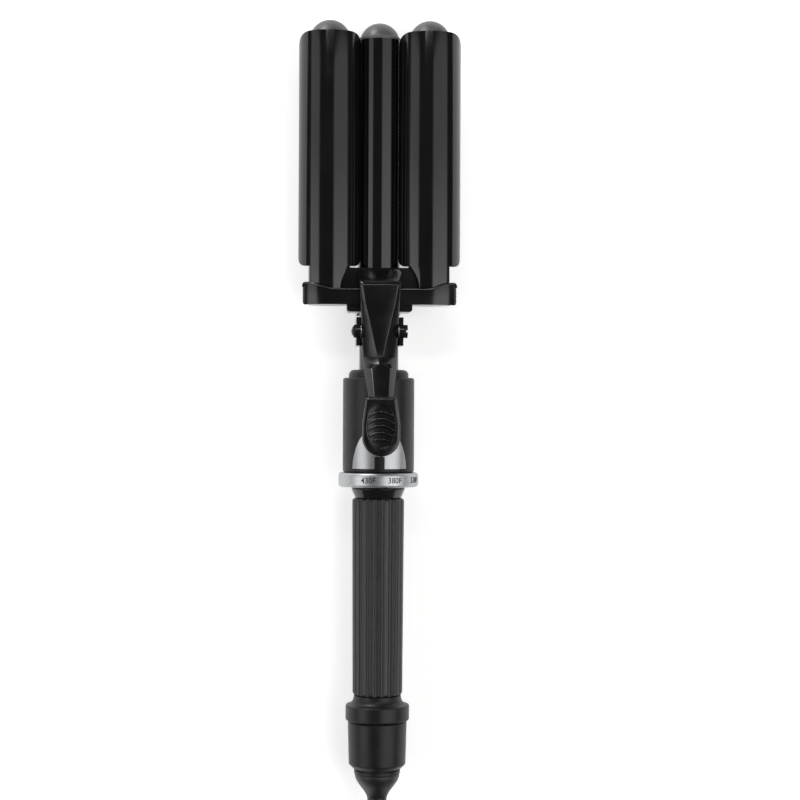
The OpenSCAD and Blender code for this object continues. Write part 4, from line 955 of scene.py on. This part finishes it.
def fadeBox(light, soft):
    # brighter at its lower end, soft at its two long edges
    light.use_nodes = True
    tree, dim = light.node_tree, studio["dim"]
    place = addNode(tree, "ShaderNodeNewGeometry")
    parts = addNode(tree, "ShaderNodeSeparateXYZ", links={"Vector": place.outputs["Parametric"]})
    fades = []
    for axis, kind, ends in (("X", "SMOOTHSTEP", (0, soft, 0, 1)), ("X", "SMOOTHSTEP", (1, 1 - soft, 0, 1)),
                             ("Y", "LINEAR", (dim["from"], dim["to"], 1, dim["left"]))):
        fades.append(addNode(tree, "ShaderNodeMapRange", links={"Value": parts.outputs[axis]},
                             values=dict(zip(("From Min", "From Max", "To Min", "To Max"), ends)),
                             interpolation_type=kind))
    edges = addNode(tree, "ShaderNodeMath", operation="MULTIPLY",
                    links={0: fades[0].outputs["Result"], 1: fades[1].outputs["Result"]})
    whole = addNode(tree, "ShaderNodeMath", operation="MULTIPLY",
                    links={0: edges.outputs["Value"], 1: fades[2].outputs["Result"]})
    tree.links.new(whole.outputs["Value"], tree.nodes["Emission"].inputs["Strength"])


def addTallBox(name, spec):
    # its two long edges stand at the two azimuths, seen from the tool
    a0, a1 = (math.radians(a) for a in spec["azimuth"])
    middle = (a0 + a1) / 2
    width = 2 * spec["far"] * math.tan(abs(a1 - a0) / 2)
    lamp = addBox(name, (width, 2 * studio["reach"]), spec["power"])
    fadeBox(lamp.data, spec["soft"])
    place = Vector((math.sin(middle) * spec["far"], 0, math.cos(middle) * spec["far"]))
    lamp.matrix_world = Matrix.Translation(place) @ Matrix.Rotation(middle, 4, "Y")


def addSmallBox(name, spec):
    # turned to the barrels from beyond the tips, one low and one high
    lamp = addBox(name, spec["size"], spec["power"])
    zenith, azimuth = math.radians(spec["zenith"]), math.radians(spec["azimuth"])
    way = Vector((math.sin(azimuth) * math.sin(zenith), math.cos(azimuth) * math.sin(zenith),
                  math.cos(zenith)))
    place = Matrix.Translation(Vector(studio["aim"]) + way * spec["far"])
    lamp.matrix_world = place @ way.to_track_quat("Z", "Y").to_matrix().to_4x4()


def addTable():
    # matt white top; seen directly, in a reflection or through glass it is lifted to white
    deselectAll()
    bpy.ops.mesh.primitive_plane_add(size=studio["tableSize"])
    table = bpy.context.object
    table.name = "paleTable"
    paint, tree = startMaterial("paleTablePaint")
    matt = addNode(tree, "ShaderNodeBsdfDiffuse", values={"Color": toLinear(studio["tableHex"])})
    rays = addNode(tree, "ShaderNodeLightPath")
    seen = addNode(tree, "ShaderNodeMath", operation="MAXIMUM",
                   links={0: rays.outputs["Is Camera Ray"], 1: rays.outputs["Is Glossy Ray"]})
    shown = addNode(tree, "ShaderNodeMath", operation="MAXIMUM",
                    links={0: seen.outputs["Value"], 1: rays.outputs["Is Transmission Ray"]})
    lift = addNode(tree, "ShaderNodeMath", operation="MULTIPLY", values={1: studio["tableGlow"]},
                   links={0: shown.outputs["Value"]})
    glow = addNode(tree, "ShaderNodeEmission", links={"Strength": lift.outputs["Value"]})
    whole = addNode(tree, "ShaderNodeAddShader", links={0: matt.outputs["BSDF"], 1: glow.outputs["Emission"]})
    addNode(tree, "ShaderNodeOutputMaterial", links={"Surface": whole.outputs["Shader"]})
    table.data.materials.append(paint)


def addStudio():
    for name, spec in studio["tallBoxes"].items():
        addTallBox(name, spec)
    for name, spec in studio["smallBoxes"].items():
        addSmallBox(name, spec)
    world = bpy.data.worlds.new("studioRoom")
    bpy.context.scene.world = world
    world.use_nodes = True
    room = world.node_tree.nodes["Background"]
    room.inputs["Color"].default_value = (1, 1, 1, 1)
    room.inputs["Strength"].default_value = studio["world"]
    addTable()
    bpy.context.scene.view_settings.view_transform = "Standard"


addStudio()
print("stage: table and soft boxes placed")
